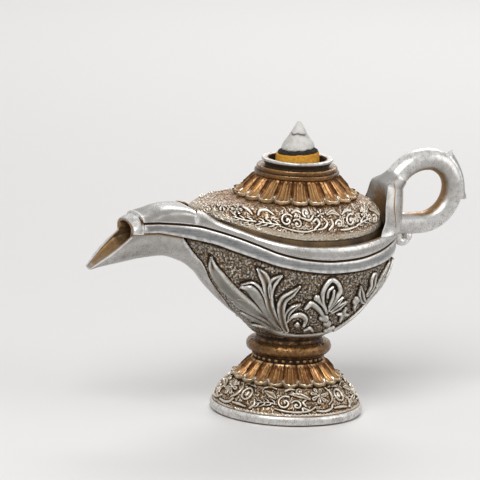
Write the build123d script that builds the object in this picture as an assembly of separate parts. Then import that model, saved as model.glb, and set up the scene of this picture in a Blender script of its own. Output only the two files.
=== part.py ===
"""Incense burner in the shape of a genie lamp: a footed boat-shaped bowl with an open spout and a loop
handle, a lid that lifts off, and a burning cone that stands in a cup on the lid. Its smoke sinks through
the lid and the bowl and runs out along the spout.

Millimetres, +Z up, spout towards -X, handle towards +X. The origin is the middle of the face that it
stands on."""

import os
from math import atan2, cos, pi, radians, sin, sqrt

from build123d import *

# Foot
foot_radius = 25.2
pad_proud = 0.3  # the pad stands below the rest of the foot by this much
pad_thickness = 1.2
pad_fit = 0.2
base_ring_height = 3.2
base_ring_width = 3.2
base_ring_round = 1.2
foot_step = 1.0  # the base ring shows this far past the foot's dome
shoulder_radius = 18.0
shoulder_height = 7.7
shoulder_bulge = 0.5
column_radius = 8.5

# Petal collars, on the foot and on the lid
petal_count = 20
petal_depth = 0.9
petal_gap = 0.5
petal_overhang = 2.2
petal_tip_thickness = 1.1
petal_round_share = 1.3  # a petal's rounded end, in half widths
collar_dish_share = 0.16  # how far a collar's flank is dished, as a share of its slope
foot_petal_radius = 18.7
foot_petal_top_radius = 11.9
foot_petal_height = 6.6

# Turned rings between the foot and the bowl
bead_count = 36
bead_radius = 0.6
bead_ring_height = 1.8
bead_ring_radius = 11.2
fillet_ring_radius = 12.2
fillet_ring_height = 0.6
torus_radius = 14.0
torus_tube = 2.1
neck_height = 2.5
neck_radius = 11.4
neck_waist = 0.5

# Bowl
bowl_height = 45.2  # from the neck to the level where its outline is cut in full
bowl_right = 34.0
bowl_left = 46.0
bowl_half_width = 26.0
bowl_floor_radius = 12.6
bowl_wall = 2.6
bowl_floor = 3.0
flank_run = 48.0  # from the middle to where the flanks become the spout's parallel sides
spout_half_width = 7.2
bowl_level_shares = (0.0, 0.07, 0.15, 0.25, 0.36, 0.47, 0.58, 0.735, 1.0)
bowl_right_shares = (0.0, 0.25, 0.44, 0.61, 0.81, 0.93, 0.98, 1.0, 1.0)
bowl_left_shares = (0.0, 0.096, 0.216, 0.371, 0.497, 0.611, 0.737, 0.925, 1.0)
bowl_width_shares = (0.0, 0.33, 0.55, 0.72, 0.866, 0.948, 0.985, 1.0, 1.0)
bowl_boat_shares = (0.0, 0.02, 0.10, 0.25, 0.50, 0.75, 1.0, 1.0, 1.0)  # how far an ellipse has become a boat

# The bands round the rim: where their edges run in side view, from the spout to the handle
side_x_shares = (-1.04, -0.77, -0.667, -0.552, -0.417, -0.279, -0.108, 0.083, 0.25, 0.444, 0.583, 0.75)
rim_low = 59.7
rim_rise = 10.9
rim_shares = (1.0, 0.90, 0.633, 0.45, 0.248, 0.11, 0.018, 0.0, 0.014, 0.083, 0.138, 0.174)
groove_low = 55.2
groove_rise = 10.5
groove_shares = (1.0, 0.905, 0.80, 0.657, 0.448, 0.219, 0.067, 0.0, 0.019, 0.143, 0.30, 0.47)
band_low = 51.2
band_rise = 11.3
band_shares = (1.0, 0.788, 0.70, 0.54, 0.363, 0.186, 0.071, 0.0, 0.009, 0.088, 0.195, 0.40)
band_proud = 1.0
band_wall = 1.9
ledge_width = 2.6
ledge_depth = 2.4
ledge_thickness = 1.6

# Spout
spout_reach = 71.0
spout_tip_height = 50.5
trough_height = 61.2
hood_front = 59.0
hood_length = 3.4
hood_opening_top = 65.9
hood_turn_height = 63.2
hood_crown = 67.6
cover_start = 38.0
cover_top = 70.4
cover_wall = 1.7
cover_x_shares = (0.0, 0.17, 0.37, 0.57, 0.79, 1.0)
cover_fall = 2.3
cover_fall_shares = (0.35, 0.09, 0.0, 0.13, 0.52, 1.0)
keel_low = 28.6
keel_high = 53.6
keel_x_shares = (0.183, 0.246, 0.303, 0.366, 0.43, 0.493, 0.563, 0.662, 0.761, 0.859, 0.915, 0.965, 1.0)
keel_height_shares = (0.0, 0.128, 0.24, 0.392, 0.572, 0.784, 0.92, 1.0, 0.976, 0.928, 0.904, 0.876, 0.848)
keel_width_shares = (1.0, 1.0, 1.0, 1.0, 1.0, 1.0, 1.0, 1.0, 1.0, 1.0, 0.93, 0.65, 0.38)
keel_depth = 9.4
keel_depth_shares = (1.0, 1.0, 1.0, 1.0, 1.0, 1.0, 1.0, 1.0, 0.91, 0.74, 0.51, 0.28, 0.10)
channel_height = 58.4
channel_depth = 2.6
channel_drop = 8.2
channel_x_shares = (0.465, 0.634, 0.775, 0.845, 0.908, 0.965, 1.014)
channel_drop_shares = (0.25, 0.13, 0.0, 0.13, 0.48, 0.80, 1.0)
channel_width_shares = (1.0, 1.0, 1.0, 1.0, 0.88, 0.56, 0.25)

# Handle
tube_radius = 3.6
loop_start_x = 36.0
loop_start_z = 77.6
loop_top_x = 46.5
loop_top_z = 83.0
loop_reach = 56.0
arm_height = 61.6
shield_base_x = 22.6
shield_base_z = 58.0
shield_half_width = 19.0
shield_x_shares = (0.0, 0.09, 0.32, 0.463, 0.56, 1.0)
shield_z_shares = (0.0, 0.204, 0.367, 0.612, 0.89, 1.0)
shield_tilt_shares = (0.0, 0.0, 0.0, 0.12, 0.45, 1.0)
shield_width_shares = (1.0, 0.89, 0.60, 0.32, 0.214, 0.0)
shield_back = 12.4
shield_back_shares = (1.0, 0.935, 0.742, 0.665, 0.602, 0.29)
shield_dish = 9.4
shield_dish_shares = (1.0, 0.894, 0.574, 0.323, 0.034, -0.383)
shield_edge = 1.6
shield_edge_shares = (1.0, 1.0, 1.0, 0.9, 0.6, 0.3)
leaf_half_width = 2.6
leaf_height = 2.5
leaf_turns = (55, 54, 20, 0, -16, -20)  # degrees round the loop's outer bend
leaf_height_shares = (0.4, 0.85, 0.18, 0.33, 1.0, -0.2)
scroll_radius = 1.5
scroll_turn = 1.7
scroll_ball_radius = 2.0
scroll_x = 37.2
scroll_low = 55.4

# Lid
lid_side_gap = 0.6
lid_seat_gap = 0.3
lid_left = 37.2
lid_right_inset = 4.8
lid_base = 60.0
lid_top = 72.2
lid_wall = 2.4
lid_edge_low = 61.2
lid_edge_rise = 10.9
lid_edge_shares = (0.73, 0.66, 0.53, 0.40, 0.24, 0.11, 0.018, 0.0, 0.014, 0.083, 0.138, 0.174)
lid_level_shares = (0.0, 0.30, 0.55, 0.78, 0.91, 0.975, 1.0)
lid_right_shares = (1.0, 1.0, 0.985, 0.92, 0.84, 0.77, 0.71)
lid_left_shares = (1.0, 1.0, 1.0, 0.99, 0.88, 0.68, 0.53)
lid_width_shares = (0.985, 1.02, 1.01, 0.955, 0.89, 0.83, 0.79)
lid_boat_shares = (1.0, 1.0, 1.0, 0.95, 0.70, 0.35, 0.15)
skirt_wall = 1.8
lid_petal_radius = 21.0
lid_petal_top_radius = 13.0
lid_petal_height = 6.3
crown_bore = 7.5
step_ring_radius = 13.9
step_ring_height = 3.9
step_ring_step = 0.7
cup_radius = 11.8
cup_rim_height = 1.7
cup_rim_rise = 0.1
cup_drum_radius = 10.4
cup_recess_radius = 9.4
cup_recess_depth = 3.0
smoke_hole_radius = 2.2
ring_fit = 0.1

# Incense cone
cone_radius = 7.9
cone_height = 15.8
cone_tip_radius = 0.5
cone_belly_share = 0.62
cone_belly_rise_share = 0.418
cone_bore_radius = 1.5
cone_bore_depth = 9.0
char_start = 4.7
ash_start = 6.2
burn_tilt = 5.0

# Leaves in relief on the bowl, in side view: root x and z, tip x and z, half width
relief_depth = 0.9
relief_outline_shares = ((0.3, 0.6), (0.65, 1.0), (0.88, 0.6))  # along a leaf and across it
relief_leaf_shares = (
    (-0.26, 0.10, -0.965, 0.62, 0.045), (-0.26, 0.12, -0.70, 0.455, 0.065), (-0.25, 0.14, -0.58, 0.57, 0.056),
    (-0.235, 0.15, -0.385, 0.53, 0.06), (-0.22, 0.16, -0.20, 0.47, 0.056), (-0.38, 0.115, -0.675, 0.29, 0.04),
    (0.13, 0.14, 0.11, 0.48, 0.076), (0.09, 0.20, -0.035, 0.37, 0.05), (0.165, 0.19, 0.265, 0.363, 0.05),
    (0.0, 0.115, -0.10, 0.314, 0.045), (0.21, 0.10, 0.353, 0.226, 0.05), (0.36, 0.22, 0.465, 0.414, 0.047),
    (0.46, 0.25, 0.618, 0.50, 0.053), (0.29, 0.16, 0.435, 0.325, 0.035), (0.706, 0.292, 0.853, 0.535, 0.053),
)

overrun = 2.0  # how far a cutting solid runs past what it cuts
points_round = 36  # points in a closed outline
points_arc = 9  # points in an open arc

# Heights and widths that follow from those sizes
base_top = pad_proud + base_ring_height
petal_seat = base_top + shoulder_height
bead_seat = petal_seat + foot_petal_height
fillet_seat = bead_seat + bead_ring_height
torus_middle = fillet_seat + fillet_ring_height + torus_tube
neck_seat = torus_middle + torus_tube
bowl_seat = neck_seat + neck_height
channel_half_width = spout_half_width - band_wall
lid_inset = band_wall + lid_side_gap
hood_back = hood_front - hood_length
step_seat = lid_top + lid_petal_height
cup_top = step_seat + step_ring_height + cup_rim_rise + cup_rim_height
cone_seat = cup_top - cup_recess_depth
far_out = 2 * spout_reach


def strokes(*points):
    """Straight edges through points of the XZ plane."""
    places = [Vector(x, 0, z) for x, z in points]
    return [Edge.make_line(a, b) for a, b in zip(places, places[1:])]


def bow(start, middle, end):
    """An arc through three points of the XZ plane."""
    return Edge.make_three_point_arc(*[Vector(x, 0, z) for x, z in (start, middle, end)])


def turned(*edges):
    """The solid that a closed profile in the XZ plane sweeps round the Z axis."""
    return revolve(Face(Wire(edges)), Axis.Z)


def ring(outer, inner, low, high):
    """A plain turned ring."""
    return Pos(0, 0, low) * extrude(Circle(outer) - Circle(inner), high - low)


def rod(radius, low, high):
    """A plain upright cylinder."""
    return Pos(0, 0, low) * extrude(Circle(radius), high - low)


def round_robin(solid, count):
    """Copies of a solid, evenly spaced round the Z axis."""
    return [Rot(0, 0, 360 * k / count) * solid for k in range(count)]


def flank(x, half_width, narrow):
    """Half width of the boat's outline at x: a cosine from full width down to the spout's parallel sides."""
    swell = cos(pi * max(x, -flank_run) / (2 * flank_run)) ** 2 if x < 0 else 1
    return narrow + (half_width - narrow) * swell


def boat_wire(z, right, left, half_width, narrow, boat):
    """A closed outline at one height: an ellipse, drawn out to a boat on the spout side by the share boat."""
    places = []
    for k in range(points_round):
        turn = 2 * pi * (k + 0.5) / points_round
        side = 1 if sin(turn) > 0 else -1
        share = cos(turn)
        if share > 0:
            places.append(Vector(right * share, half_width * sin(turn), z))
            continue
        x = left * share
        blunt = flank(x, half_width, narrow) * sqrt(1 - share ** 8)
        oval = half_width * sqrt(1 - share ** 2)
        places.append(Vector(x, side * (oval + boat * (blunt - oval)), z))
    return Wire([Edge.make_spline(places, periodic=True)])


def bowl_form(grown):
    """The bowl's solid form, grown outwards all round."""
    wires = []
    for level, right, left, width, boat in zip(bowl_level_shares, bowl_right_shares, bowl_left_shares,
                                               bowl_width_shares, bowl_boat_shares):
        wires.append(boat_wire(bowl_seat + level * bowl_height,
                               bowl_floor_radius + right * (bowl_right - bowl_floor_radius) + grown,
                               bowl_floor_radius + left * (bowl_left - bowl_floor_radius) + grown,
                               bowl_floor_radius + width * (bowl_half_width - bowl_floor_radius) + grown,
                               spout_half_width + grown, boat))
    return Solid.make_loft(wires)


def lid_form(grown):
    """The lid's solid form, grown outwards all round."""
    wires = []
    for level, right, left, width, boat in zip(lid_level_shares, lid_right_shares, lid_left_shares,
                                               lid_width_shares, lid_boat_shares):
        wires.append(boat_wire(lid_base + level * (lid_top - lid_base),
                               right * (bowl_right - lid_right_inset) + grown,
                               left * lid_left + grown,
                               width * (bowl_half_width - lid_inset) + grown,
                               spout_half_width - lid_inset + grown, boat))
    return Solid.make_loft(wires)


def plan_prism(grown, left_end, low, high):
    """The rim's outline from above, grown outwards, cut square at the spout and stretched upwards."""
    steps = points_round // 4
    side = []
    for k in range(1, steps):
        x = -flank_run * (1 - k / steps)
        side.append((x, flank(x, bowl_half_width, spout_half_width) + grown))
    for k in range(steps + 1):
        turn = pi / 2 * (1 - k / steps)
        side.append(((bowl_right + grown) * cos(turn), (bowl_half_width + grown) * sin(turn)))
    start = (-flank_run, spout_half_width + grown)
    places = [start] + side + [(x, -y) for x, y in reversed(side[:-1])] + [(start[0], -start[1])]
    places = [Vector(x, y, low) for x, y in places]
    curve = Edge.make_spline(places, tangents=[Vector(1, 0, 0), Vector(-1, 0, 0)])
    corners = [Vector(-left_end, start[1], low), Vector(-left_end, -start[1], low)]
    wire = Wire([curve, Edge.make_line(corners[0], places[0]), Edge.make_line(*corners),
                 Edge.make_line(corners[1], places[-1])])
    return Solid.extrude(Face(wire), Vector(0, 0, high - low))


def side_points(low, rise, shares, lift=0):
    return [(x * flank_run, low + share * rise + lift) for x, share in zip(side_x_shares, shares)]


def side_curve(points):
    """A smooth line through points of the side view, carried on level past the handle."""
    curve = Edge.make_spline([Vector(x, 0, z) for x, z in points])
    return [curve] + strokes(points[-1], (far_out, points[-1][1]))


def side_line(low, rise, shares, lift=0):
    """A line of the rim in side view, carried on level past both of its ends."""
    points = side_points(low, rise, shares, lift)
    return strokes((-far_out, points[0][1]), points[0]) + side_curve(points)


def rim_line(lift=0):
    return side_line(rim_low, rim_rise, rim_shares, lift)


def groove_line():
    return side_line(groove_low, groove_rise, groove_shares)


def band_line():
    return side_line(band_low, band_rise, band_shares)


def level_line(z):
    return strokes((-far_out, z), (far_out, z))


def slab(upper, lower):
    """Everything between two lines of the side view, right across the part."""
    ends = []
    for k in (0, -1):
        side = -far_out if k == 0 else far_out
        heights = [(line[k].start_point() if k == 0 else line[k].end_point()).Z for line in (upper, lower)]
        ends += strokes((side, heights[0]), (side, heights[1]))
    face = Face(Wire(upper + lower + ends)).moved(Location((0, -far_out, 0)))
    return Solid.extrude(face, Vector(0, 2 * far_out, 0))


def below(line):
    return slab(line, level_line(0))


def gutter_wire(x, half_width, flat, turn, end):
    """A cross section at x: parallel sides from a flat edge to the turn, then a half ellipse to the end."""
    turns = [pi * k / (points_arc - 1) for k in range(points_arc)]
    arc = [Vector(x, half_width * cos(t), turn + (end - turn) * sin(t)) for t in turns]
    upright = Vector(0, 0, 1 if end > turn else -1)
    corners = [Vector(x, half_width, flat), Vector(x, -half_width, flat)]
    return Wire([Edge.make_line(corners[0], arc[0]), Edge.make_spline(arc, tangents=[upright, -upright]),
                 Edge.make_line(arc[-1], corners[1]), Edge.make_line(corners[1], corners[0])])


def right_of(x):
    """Everything on the handle's side of x."""
    return Pos(x, 0, 0) * Box(far_out, far_out, far_out, align=(Align.MIN, Align.CENTER, Align.CENTER))


def keel_form():
    """The spout's underside, from the foot of the bowl out to the tip."""
    wires = []
    for x, height, width, depth in zip(
            keel_x_shares, keel_height_shares, keel_width_shares, keel_depth_shares):
        bottom = keel_low + height * (keel_high - keel_low)
        wires.append(gutter_wire(-x * spout_reach, width * spout_half_width, hood_crown,
                                 bottom + depth * keel_depth, bottom))
    return Solid.make_loft(wires)


def channel_form():
    """The gutter that the smoke runs along, open at the top."""
    wires = []
    for x, drop, width in zip(channel_x_shares, channel_drop_shares, channel_width_shares):
        bottom = channel_height - drop * channel_drop
        wires.append(gutter_wire(-x * spout_reach, width * channel_half_width, cover_top,
                                 bottom + channel_depth * width, bottom))
    return Solid.make_loft(wires)


def spout_edge_line():
    """The spout's upper edge in side view: level under the band, then falling to the tip."""
    points = side_points(band_low, band_rise, band_shares)
    fall = strokes((-far_out, spout_tip_height), (-spout_reach, spout_tip_height),
                   (-hood_front, trough_height), (-hood_front, points[0][1]), points[0])
    return fall + side_curve(points)


def petal_collar(seat, height, tip_radius, top_radius, bore):
    """A dished collar with rounded petals that lie on it and reach past its edge."""
    def flank_bow(inset):
        top = (top_radius - inset, seat + height)
        tip = (tip_radius - inset, seat + petal_tip_thickness)
        rise, run = top[1] - tip[1], tip[0] - top[0]
        middle = ((top[0] + tip[0]) / 2 - collar_dish_share * rise,
                  (top[1] + tip[1]) / 2 - collar_dish_share * run)
        return top, middle, tip

    def dished(inset):
        top, middle, tip = flank_bow(inset)
        return turned(*strokes((tip[0], tip[1]), (tip[0], seat), (bore, seat), (bore, top[1]), top),
                      bow(top, middle, tip))

    core = dished(petal_depth) & rod(tip_radius - petal_overhang, seat, seat + height)
    pitch = pi / petal_count
    half_width = (tip_radius - petal_overhang) * sin(pitch) - petal_gap / 2
    inner = bore * cos(pitch)
    shoulder = tip_radius - petal_round_share * half_width
    corners = [(shoulder, half_width), (shoulder, -half_width)]
    outline = Wire([Edge.make_line((inner, 0), corners[0]),
                    Edge.make_three_point_arc(corners[0], (tip_radius, 0), corners[1]),
                    Edge.make_line(corners[1], (inner, 0))])
    petal = Solid.extrude(Face(outline), Vector(0, 0, height)).moved(Location((0, 0, seat)))
    petal = petal & dished(0)
    return core + round_robin(petal, petal_count)


def foot_pad():
    inner = foot_radius - base_ring_width
    return rod(inner - pad_fit, 0, pad_thickness)


def foot_base_ring():
    inner = foot_radius - base_ring_width
    shape = ring(foot_radius, inner, pad_proud, base_top)
    outer_edges = shape.edges().filter_by(GeomType.CIRCLE).sort_by(SortBy.RADIUS)[-2:]
    return fillet(outer_edges, base_ring_round)


def foot_body():
    """A low dome on the base ring, and a column through the rings above it."""
    inner = foot_radius - base_ring_width
    edge = foot_radius - foot_step
    middle = ((edge + shoulder_radius) / 2 + shoulder_bulge, (base_top + petal_seat) / 2 + shoulder_bulge)
    return turned(*strokes((edge, base_top), (inner, base_top), (inner, pad_thickness), (0, pad_thickness),
                           (0, bowl_seat), (column_radius, bowl_seat), (column_radius, petal_seat),
                           (shoulder_radius, petal_seat)),
                  bow((shoulder_radius, petal_seat), middle, (edge, base_top)))


def foot_petal_ring():
    return petal_collar(petal_seat, foot_petal_height, foot_petal_radius, foot_petal_top_radius,
                        column_radius)


def foot_bead_ring():
    bead = Pos(bead_ring_radius, 0, bead_seat + bead_ring_height / 2) * Sphere(bead_radius)
    return ring(bead_ring_radius, column_radius, bead_seat, fillet_seat) + round_robin(bead, bead_count)


def foot_torus_ring():
    tube_middle = torus_radius - torus_tube
    band_high = fillet_seat + fillet_ring_height
    body = ring(tube_middle, column_radius, fillet_seat, neck_seat)
    body += ring(fillet_ring_radius, column_radius, fillet_seat, band_high)
    return body + Pos(0, 0, torus_middle) * Torus(tube_middle, torus_tube)


def neck_collar():
    middle = (neck_radius - neck_waist, (neck_seat + bowl_seat) / 2)
    return turned(*strokes((neck_radius, neck_seat), (column_radius, neck_seat), (column_radius, bowl_seat),
                           (neck_radius, bowl_seat)),
                  bow((neck_radius, bowl_seat), middle, (neck_radius, neck_seat)))


def bowl_shell():
    hollow = bowl_form(-bowl_wall).moved(Location((0, 0, bowl_floor)))
    return (bowl_form(0) - hollow - channel_form()) & below(band_line())


def spout_keel():
    return (keel_form() - bowl_form(0) - channel_form()) & below(spout_edge_line())


def rim_lower_band():
    high = rim_low + rim_rise
    walls = plan_prism(band_proud, hood_back, band_low, high)
    walls -= plan_prism(-band_wall, hood_front, band_low - overrun, high + overrun)
    return walls & slab(groove_line(), band_line())


def rim_upper_band():
    """The upper band, with the ledge inside it that carries the lid."""
    high = rim_low + rim_rise + overrun
    walls = plan_prism(band_proud, hood_back, groove_low, high)
    walls -= plan_prism(-band_wall, hood_front, groove_low - overrun, high + overrun)
    ledge = plan_prism(-band_wall, hood_back, groove_low, high)
    ledge -= plan_prism(-band_wall - ledge_width, hood_front, groove_low - overrun, high + overrun)
    ledge = ledge & slab(rim_line(-ledge_depth), rim_line(-ledge_depth - ledge_thickness))
    walls = (walls & right_of(-cover_start)) & slab(rim_line(), groove_line())
    return walls + (ledge & right_of(-cover_start))


def cover_form(wall):
    """The rounded hump over the spout, or its inside when it is given a wall."""
    wires = []
    for share, fall in zip(cover_x_shares, cover_fall_shares):
        x = -cover_start - share * (hood_back - cover_start)
        past = overrun if wall and share in (cover_x_shares[0], cover_x_shares[-1]) else 0
        x += past if share == cover_x_shares[0] else -past
        top = cover_top - fall * cover_fall - wall
        half_width = flank(x, bowl_half_width, spout_half_width) + (-band_wall if wall else band_proud)
        wires.append(gutter_wire(x, half_width, groove_low, groove_low + groove_rise, top))
    return Solid.make_loft(wires)


def spout_cover():
    hump = cover_form(0) - cover_form(cover_wall)
    return hump - below(groove_line())


def spout_hood():
    """The raised arch round the mouth of the spout."""
    outer = gutter_wire(-hood_front, spout_half_width + band_proud, groove_low, hood_turn_height, hood_crown)
    opening = gutter_wire(-hood_front, channel_half_width, groove_low, hood_turn_height, hood_opening_top)
    run = Vector(hood_length, 0, 0)
    arch = Solid.extrude(Face(outer), run) - Solid.extrude(Face(opening), run)
    return arch - below(band_line())


def shield_form():
    """A dished shield that narrows as it rises and turns into the handle's tube."""
    start_turn = loop_start_turn()
    wires = []
    for across, up, tilt, width, back, dish, edge in zip(
            shield_x_shares, shield_z_shares, shield_tilt_shares, shield_width_shares, shield_back_shares,
            shield_dish_shares, shield_edge_shares):
        x = shield_base_x + across * (loop_start_x - shield_base_x)
        z = shield_base_z + up * (loop_start_z - shield_base_z)
        half_width = tube_radius + width * (shield_half_width - tube_radius)
        lean = tilt * start_turn
        curves = []
        for depth, way in ((back * shield_back, 1), (dish * shield_dish, -1)):
            places = []
            for k in range(points_arc):
                turn = way * (pi * k / (points_arc - 1) - pi / 2)
                reach = depth * cos(turn) + way * edge * shield_edge / 2
                places.append(Vector(x + reach * cos(lean), half_width * sin(turn), z - reach * sin(lean)))
            curves.append(places)
        outside, inside = curves
        wires.append(Wire([Edge.make_spline(outside), Edge.make_line(outside[-1], inside[0]),
                           Edge.make_spline(inside), Edge.make_line(inside[-1], outside[0])]))
    return Solid.make_loft(wires)


def loop_radius():
    """Radius of the arc from the shield to the loop's top, where it runs level."""
    across, up = loop_top_x - loop_start_x, loop_top_z - loop_start_z
    return (across ** 2 + up ** 2) / (2 * up)


def loop_start_turn():
    """How far the loop's section leans back where it leaves the shield, in radians."""
    across, up = loop_top_x - loop_start_x, loop_top_z - loop_start_z
    return pi / 2 - atan2(across, loop_radius() - up)


def loop_path():
    first = loop_radius()
    second = loop_reach - loop_top_x
    side_z = loop_top_z - second
    third = side_z - arm_height
    half = sqrt(0.5)
    mid_turn = (pi / 2 + loop_start_turn()) / 2
    centre = (loop_top_x, loop_top_z - first)
    top, side = (loop_top_x, loop_top_z), (loop_reach, side_z)
    foot = (loop_reach - third, arm_height)
    return Wire([bow((loop_start_x, loop_start_z),
                     (centre[0] - first * cos(mid_turn), centre[1] + first * sin(mid_turn)), top),
                 bow(top, (loop_top_x + second * half, side_z + second * half), side),
                 bow(side, (foot[0] + third * half, side_z - third * half), foot),
                 *strokes(foot, (bowl_right, arm_height))])


def loop_form():
    path = loop_path()
    profile = Plane(origin=path.position_at(0), z_dir=path.tangent_at(0)) * Circle(tube_radius)
    return sweep(profile, path=path)


def handle_shield():
    return shield_form() - below(rim_line())


def handle_loop():
    body = plan_prism(band_proud, hood_back, band_low, rim_low + rim_rise) & below(rim_line())
    return loop_form() - shield_form() - body


def handle_leaf():
    """A leaf that lies on the outside of the loop and ends in a spur."""
    second = loop_reach - loop_top_x
    side_z = loop_top_z - second
    reaches = [second + tube_radius + share * leaf_height for share in leaf_height_shares]
    turns = [radians(turn) for turn in leaf_turns]
    inner_turns = [turns[3], turns[0]]
    points = [(loop_top_x + reach * cos(turn), side_z + reach * sin(turn))
              for reach, turn in zip(reaches + 2 * [second], turns + inner_turns)]
    face = Face(Wire(strokes(*points, points[0]))).moved(Location((0, -leaf_half_width, 0)))
    return Solid.extrude(face, Vector(0, 2 * leaf_half_width, 0)) - loop_form()


def handle_scroll():
    """A small hook under the handle that ends in a ball."""
    centre = (scroll_x + scroll_turn, scroll_low + scroll_turn)
    end = (centre[0] + scroll_turn, centre[1])
    path = Wire([*strokes((scroll_x, arm_height - tube_radius / 2), (scroll_x, centre[1])),
                 bow((scroll_x, centre[1]), (centre[0], scroll_low), end)])
    profile = Plane(origin=path.position_at(0), z_dir=path.tangent_at(0)) * Circle(scroll_radius)
    ball = Pos(end[0], 0, end[1]) * Sphere(scroll_ball_radius)
    return sweep(profile, path=path) + ball - loop_form()


def leaf_outline(root, tip, half_width):
    """A leaf in side view: pointed at both ends, widest past its middle."""
    dx, dz = tip[0] - root[0], tip[1] - root[1]
    length = sqrt(dx ** 2 + dz ** 2)
    nx, nz = -dz / length, dx / length
    edges = []
    for side in (1, -1):
        places = [(root[0] + dx * along + nx * side * half_width * wide,
                   root[1] + dz * along + nz * side * half_width * wide)
                  for along, wide in relief_outline_shares]
        edges.append(Edge.make_spline([Vector(x, 0, z) for x, z in (root, *places, tip)]))
    return Face(Wire(edges))


def leaf_relief(side):
    """Leaves in relief that fan out over one side of the bowl, as a group of separate solids."""
    def place(across, up):
        return across * bowl_right, bowl_seat + up * bowl_height

    leaves = []
    for root_x, root_z, tip_x, tip_z, width in relief_leaf_shares:
        face = leaf_outline(place(root_x, root_z), place(tip_x, tip_z), width * bowl_right)
        leaves.append(Solid.extrude(face, Vector(0, side * far_out, 0)))
    layer = bowl_form(relief_depth) - bowl_form(0)
    return layer & leaves[0].fuse(*leaves[1:])


def lid_dome():
    hollow = lid_form(-lid_wall).moved(Location((0, 0, -lid_wall)))
    edge = side_line(lid_edge_low, lid_edge_rise, lid_edge_shares)
    return lid_form(0) - hollow - below(edge) - rod(crown_bore, lid_base, lid_top + overrun)


def lid_skirt():
    """The wall under the lid that drops into the mouth and stands over the ledge."""
    def prism(grown):
        wire = boat_wire(rim_low - ledge_depth - overrun, bowl_right - lid_right_inset + grown,
                         lid_left + grown, bowl_half_width - lid_inset + grown,
                         spout_half_width - lid_inset + grown, 1)
        return Solid.extrude(Face(wire), Vector(0, 0, lid_top - rim_low + ledge_depth + overrun))

    edge = side_line(lid_edge_low, lid_edge_rise, lid_edge_shares)
    return (prism(0) - prism(-skirt_wall)) & slab(edge, rim_line(lid_seat_gap - ledge_depth))


def lid_petal_ring():
    return petal_collar(lid_top, lid_petal_height, lid_petal_radius, lid_petal_top_radius, crown_bore)


def lid_step_ring():
    inner = cup_drum_radius + ring_fit
    middle = step_seat + step_ring_height / 2
    upper = step_ring_radius - step_ring_step
    return (ring(step_ring_radius, inner, step_seat, middle)
            + ring(upper, inner, step_seat, step_seat + step_ring_height))


def lid_cup():
    """The cup that the incense stands in, with the hole that its smoke sinks through."""
    flange = step_seat + step_ring_height + cup_rim_rise
    body = rod(cup_drum_radius, step_seat, cup_top) + rod(cup_radius, flange, cup_top)
    body -= rod(cup_recess_radius, cone_seat, cup_top + overrun)
    return body - rod(smoke_hole_radius, step_seat - overrun, cup_top)


def cone_parts():
    """The incense cone in three pieces: unburnt, charred and ash, parted by slanting faces."""
    belly = (cone_tip_radius + (cone_radius - cone_tip_radius) * cone_belly_share,
             cone_seat + cone_height * cone_belly_rise_share)
    tip = (cone_tip_radius, cone_seat + cone_height)
    cone = turned(*strokes(tip, (0, tip[1]), (0, cone_seat), (cone_radius, cone_seat)),
                  bow((cone_radius, cone_seat), belly, tip))
    cone -= rod(cone_bore_radius, cone_seat - overrun, cone_seat + cone_bore_depth)

    def above(height):
        block = Box(far_out, far_out, far_out, align=(Align.CENTER, Align.CENTER, Align.MIN))
        return Pos(0, 0, cone_seat + height) * (Rot(0, -burn_tilt, 0) * block)

    return (cone - above(char_start), (cone & above(char_start)) - above(ash_start), cone & above(ash_start))


unburnt, charred, ash = cone_parts()
nodes = {
    "foot_pad": foot_pad(),
    "foot_base_ring": foot_base_ring(),
    "foot_body": foot_body(),
    "foot_petal_collar": foot_petal_ring(),
    "foot_bead_ring": foot_bead_ring(),
    "foot_torus_ring": foot_torus_ring(),
    "neck_collar": neck_collar(),
    "bowl_shell": bowl_shell(),
    "spout_keel": spout_keel(),
    "rim_lower_band": rim_lower_band(),
    "rim_upper_band": rim_upper_band(),
    "spout_cover": spout_cover(),
    "spout_hood": spout_hood(),
    "handle_shield": handle_shield(),
    "handle_loop": handle_loop(),
    "handle_leaf": handle_leaf(),
    "handle_scroll": handle_scroll(),
    "leaf_relief_near": leaf_relief(-1),
    "leaf_relief_far": leaf_relief(1),
    "lid_dome": lid_dome(),
    "lid_skirt": lid_skirt(),
    "lid_petal_collar": lid_petal_ring(),
    "lid_step_ring": lid_step_ring(),
    "lid_cup": lid_cup(),
    "incense_cone": unburnt,
    "incense_char": charred,
    "incense_ash": ash,
}

os.makedirs("parts", exist_ok=True)
for name, shape in nodes.items():
    if isinstance(shape, (list, tuple)):
        shape = Compound([solid for piece in shape for solid in piece.solids()])
    export_step(shape, f"parts/{name}.step")
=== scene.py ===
"""Looks of the genie-lamp incense burner: cast resin with antique silver and bronze paint, stippled grounds
and raised ornament, and a half-burnt cone of incense. Sizes are in millimetres until a mesh is made."""

from math import atan2, radians

import bmesh
import bpy
import numpy as np
from mathutils import Matrix, Vector
from numpy import arange, array, clip, concatenate, cos, exp, hypot, linspace
from numpy import maximum, minimum, pi, sin, sqrt, stack, where


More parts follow.
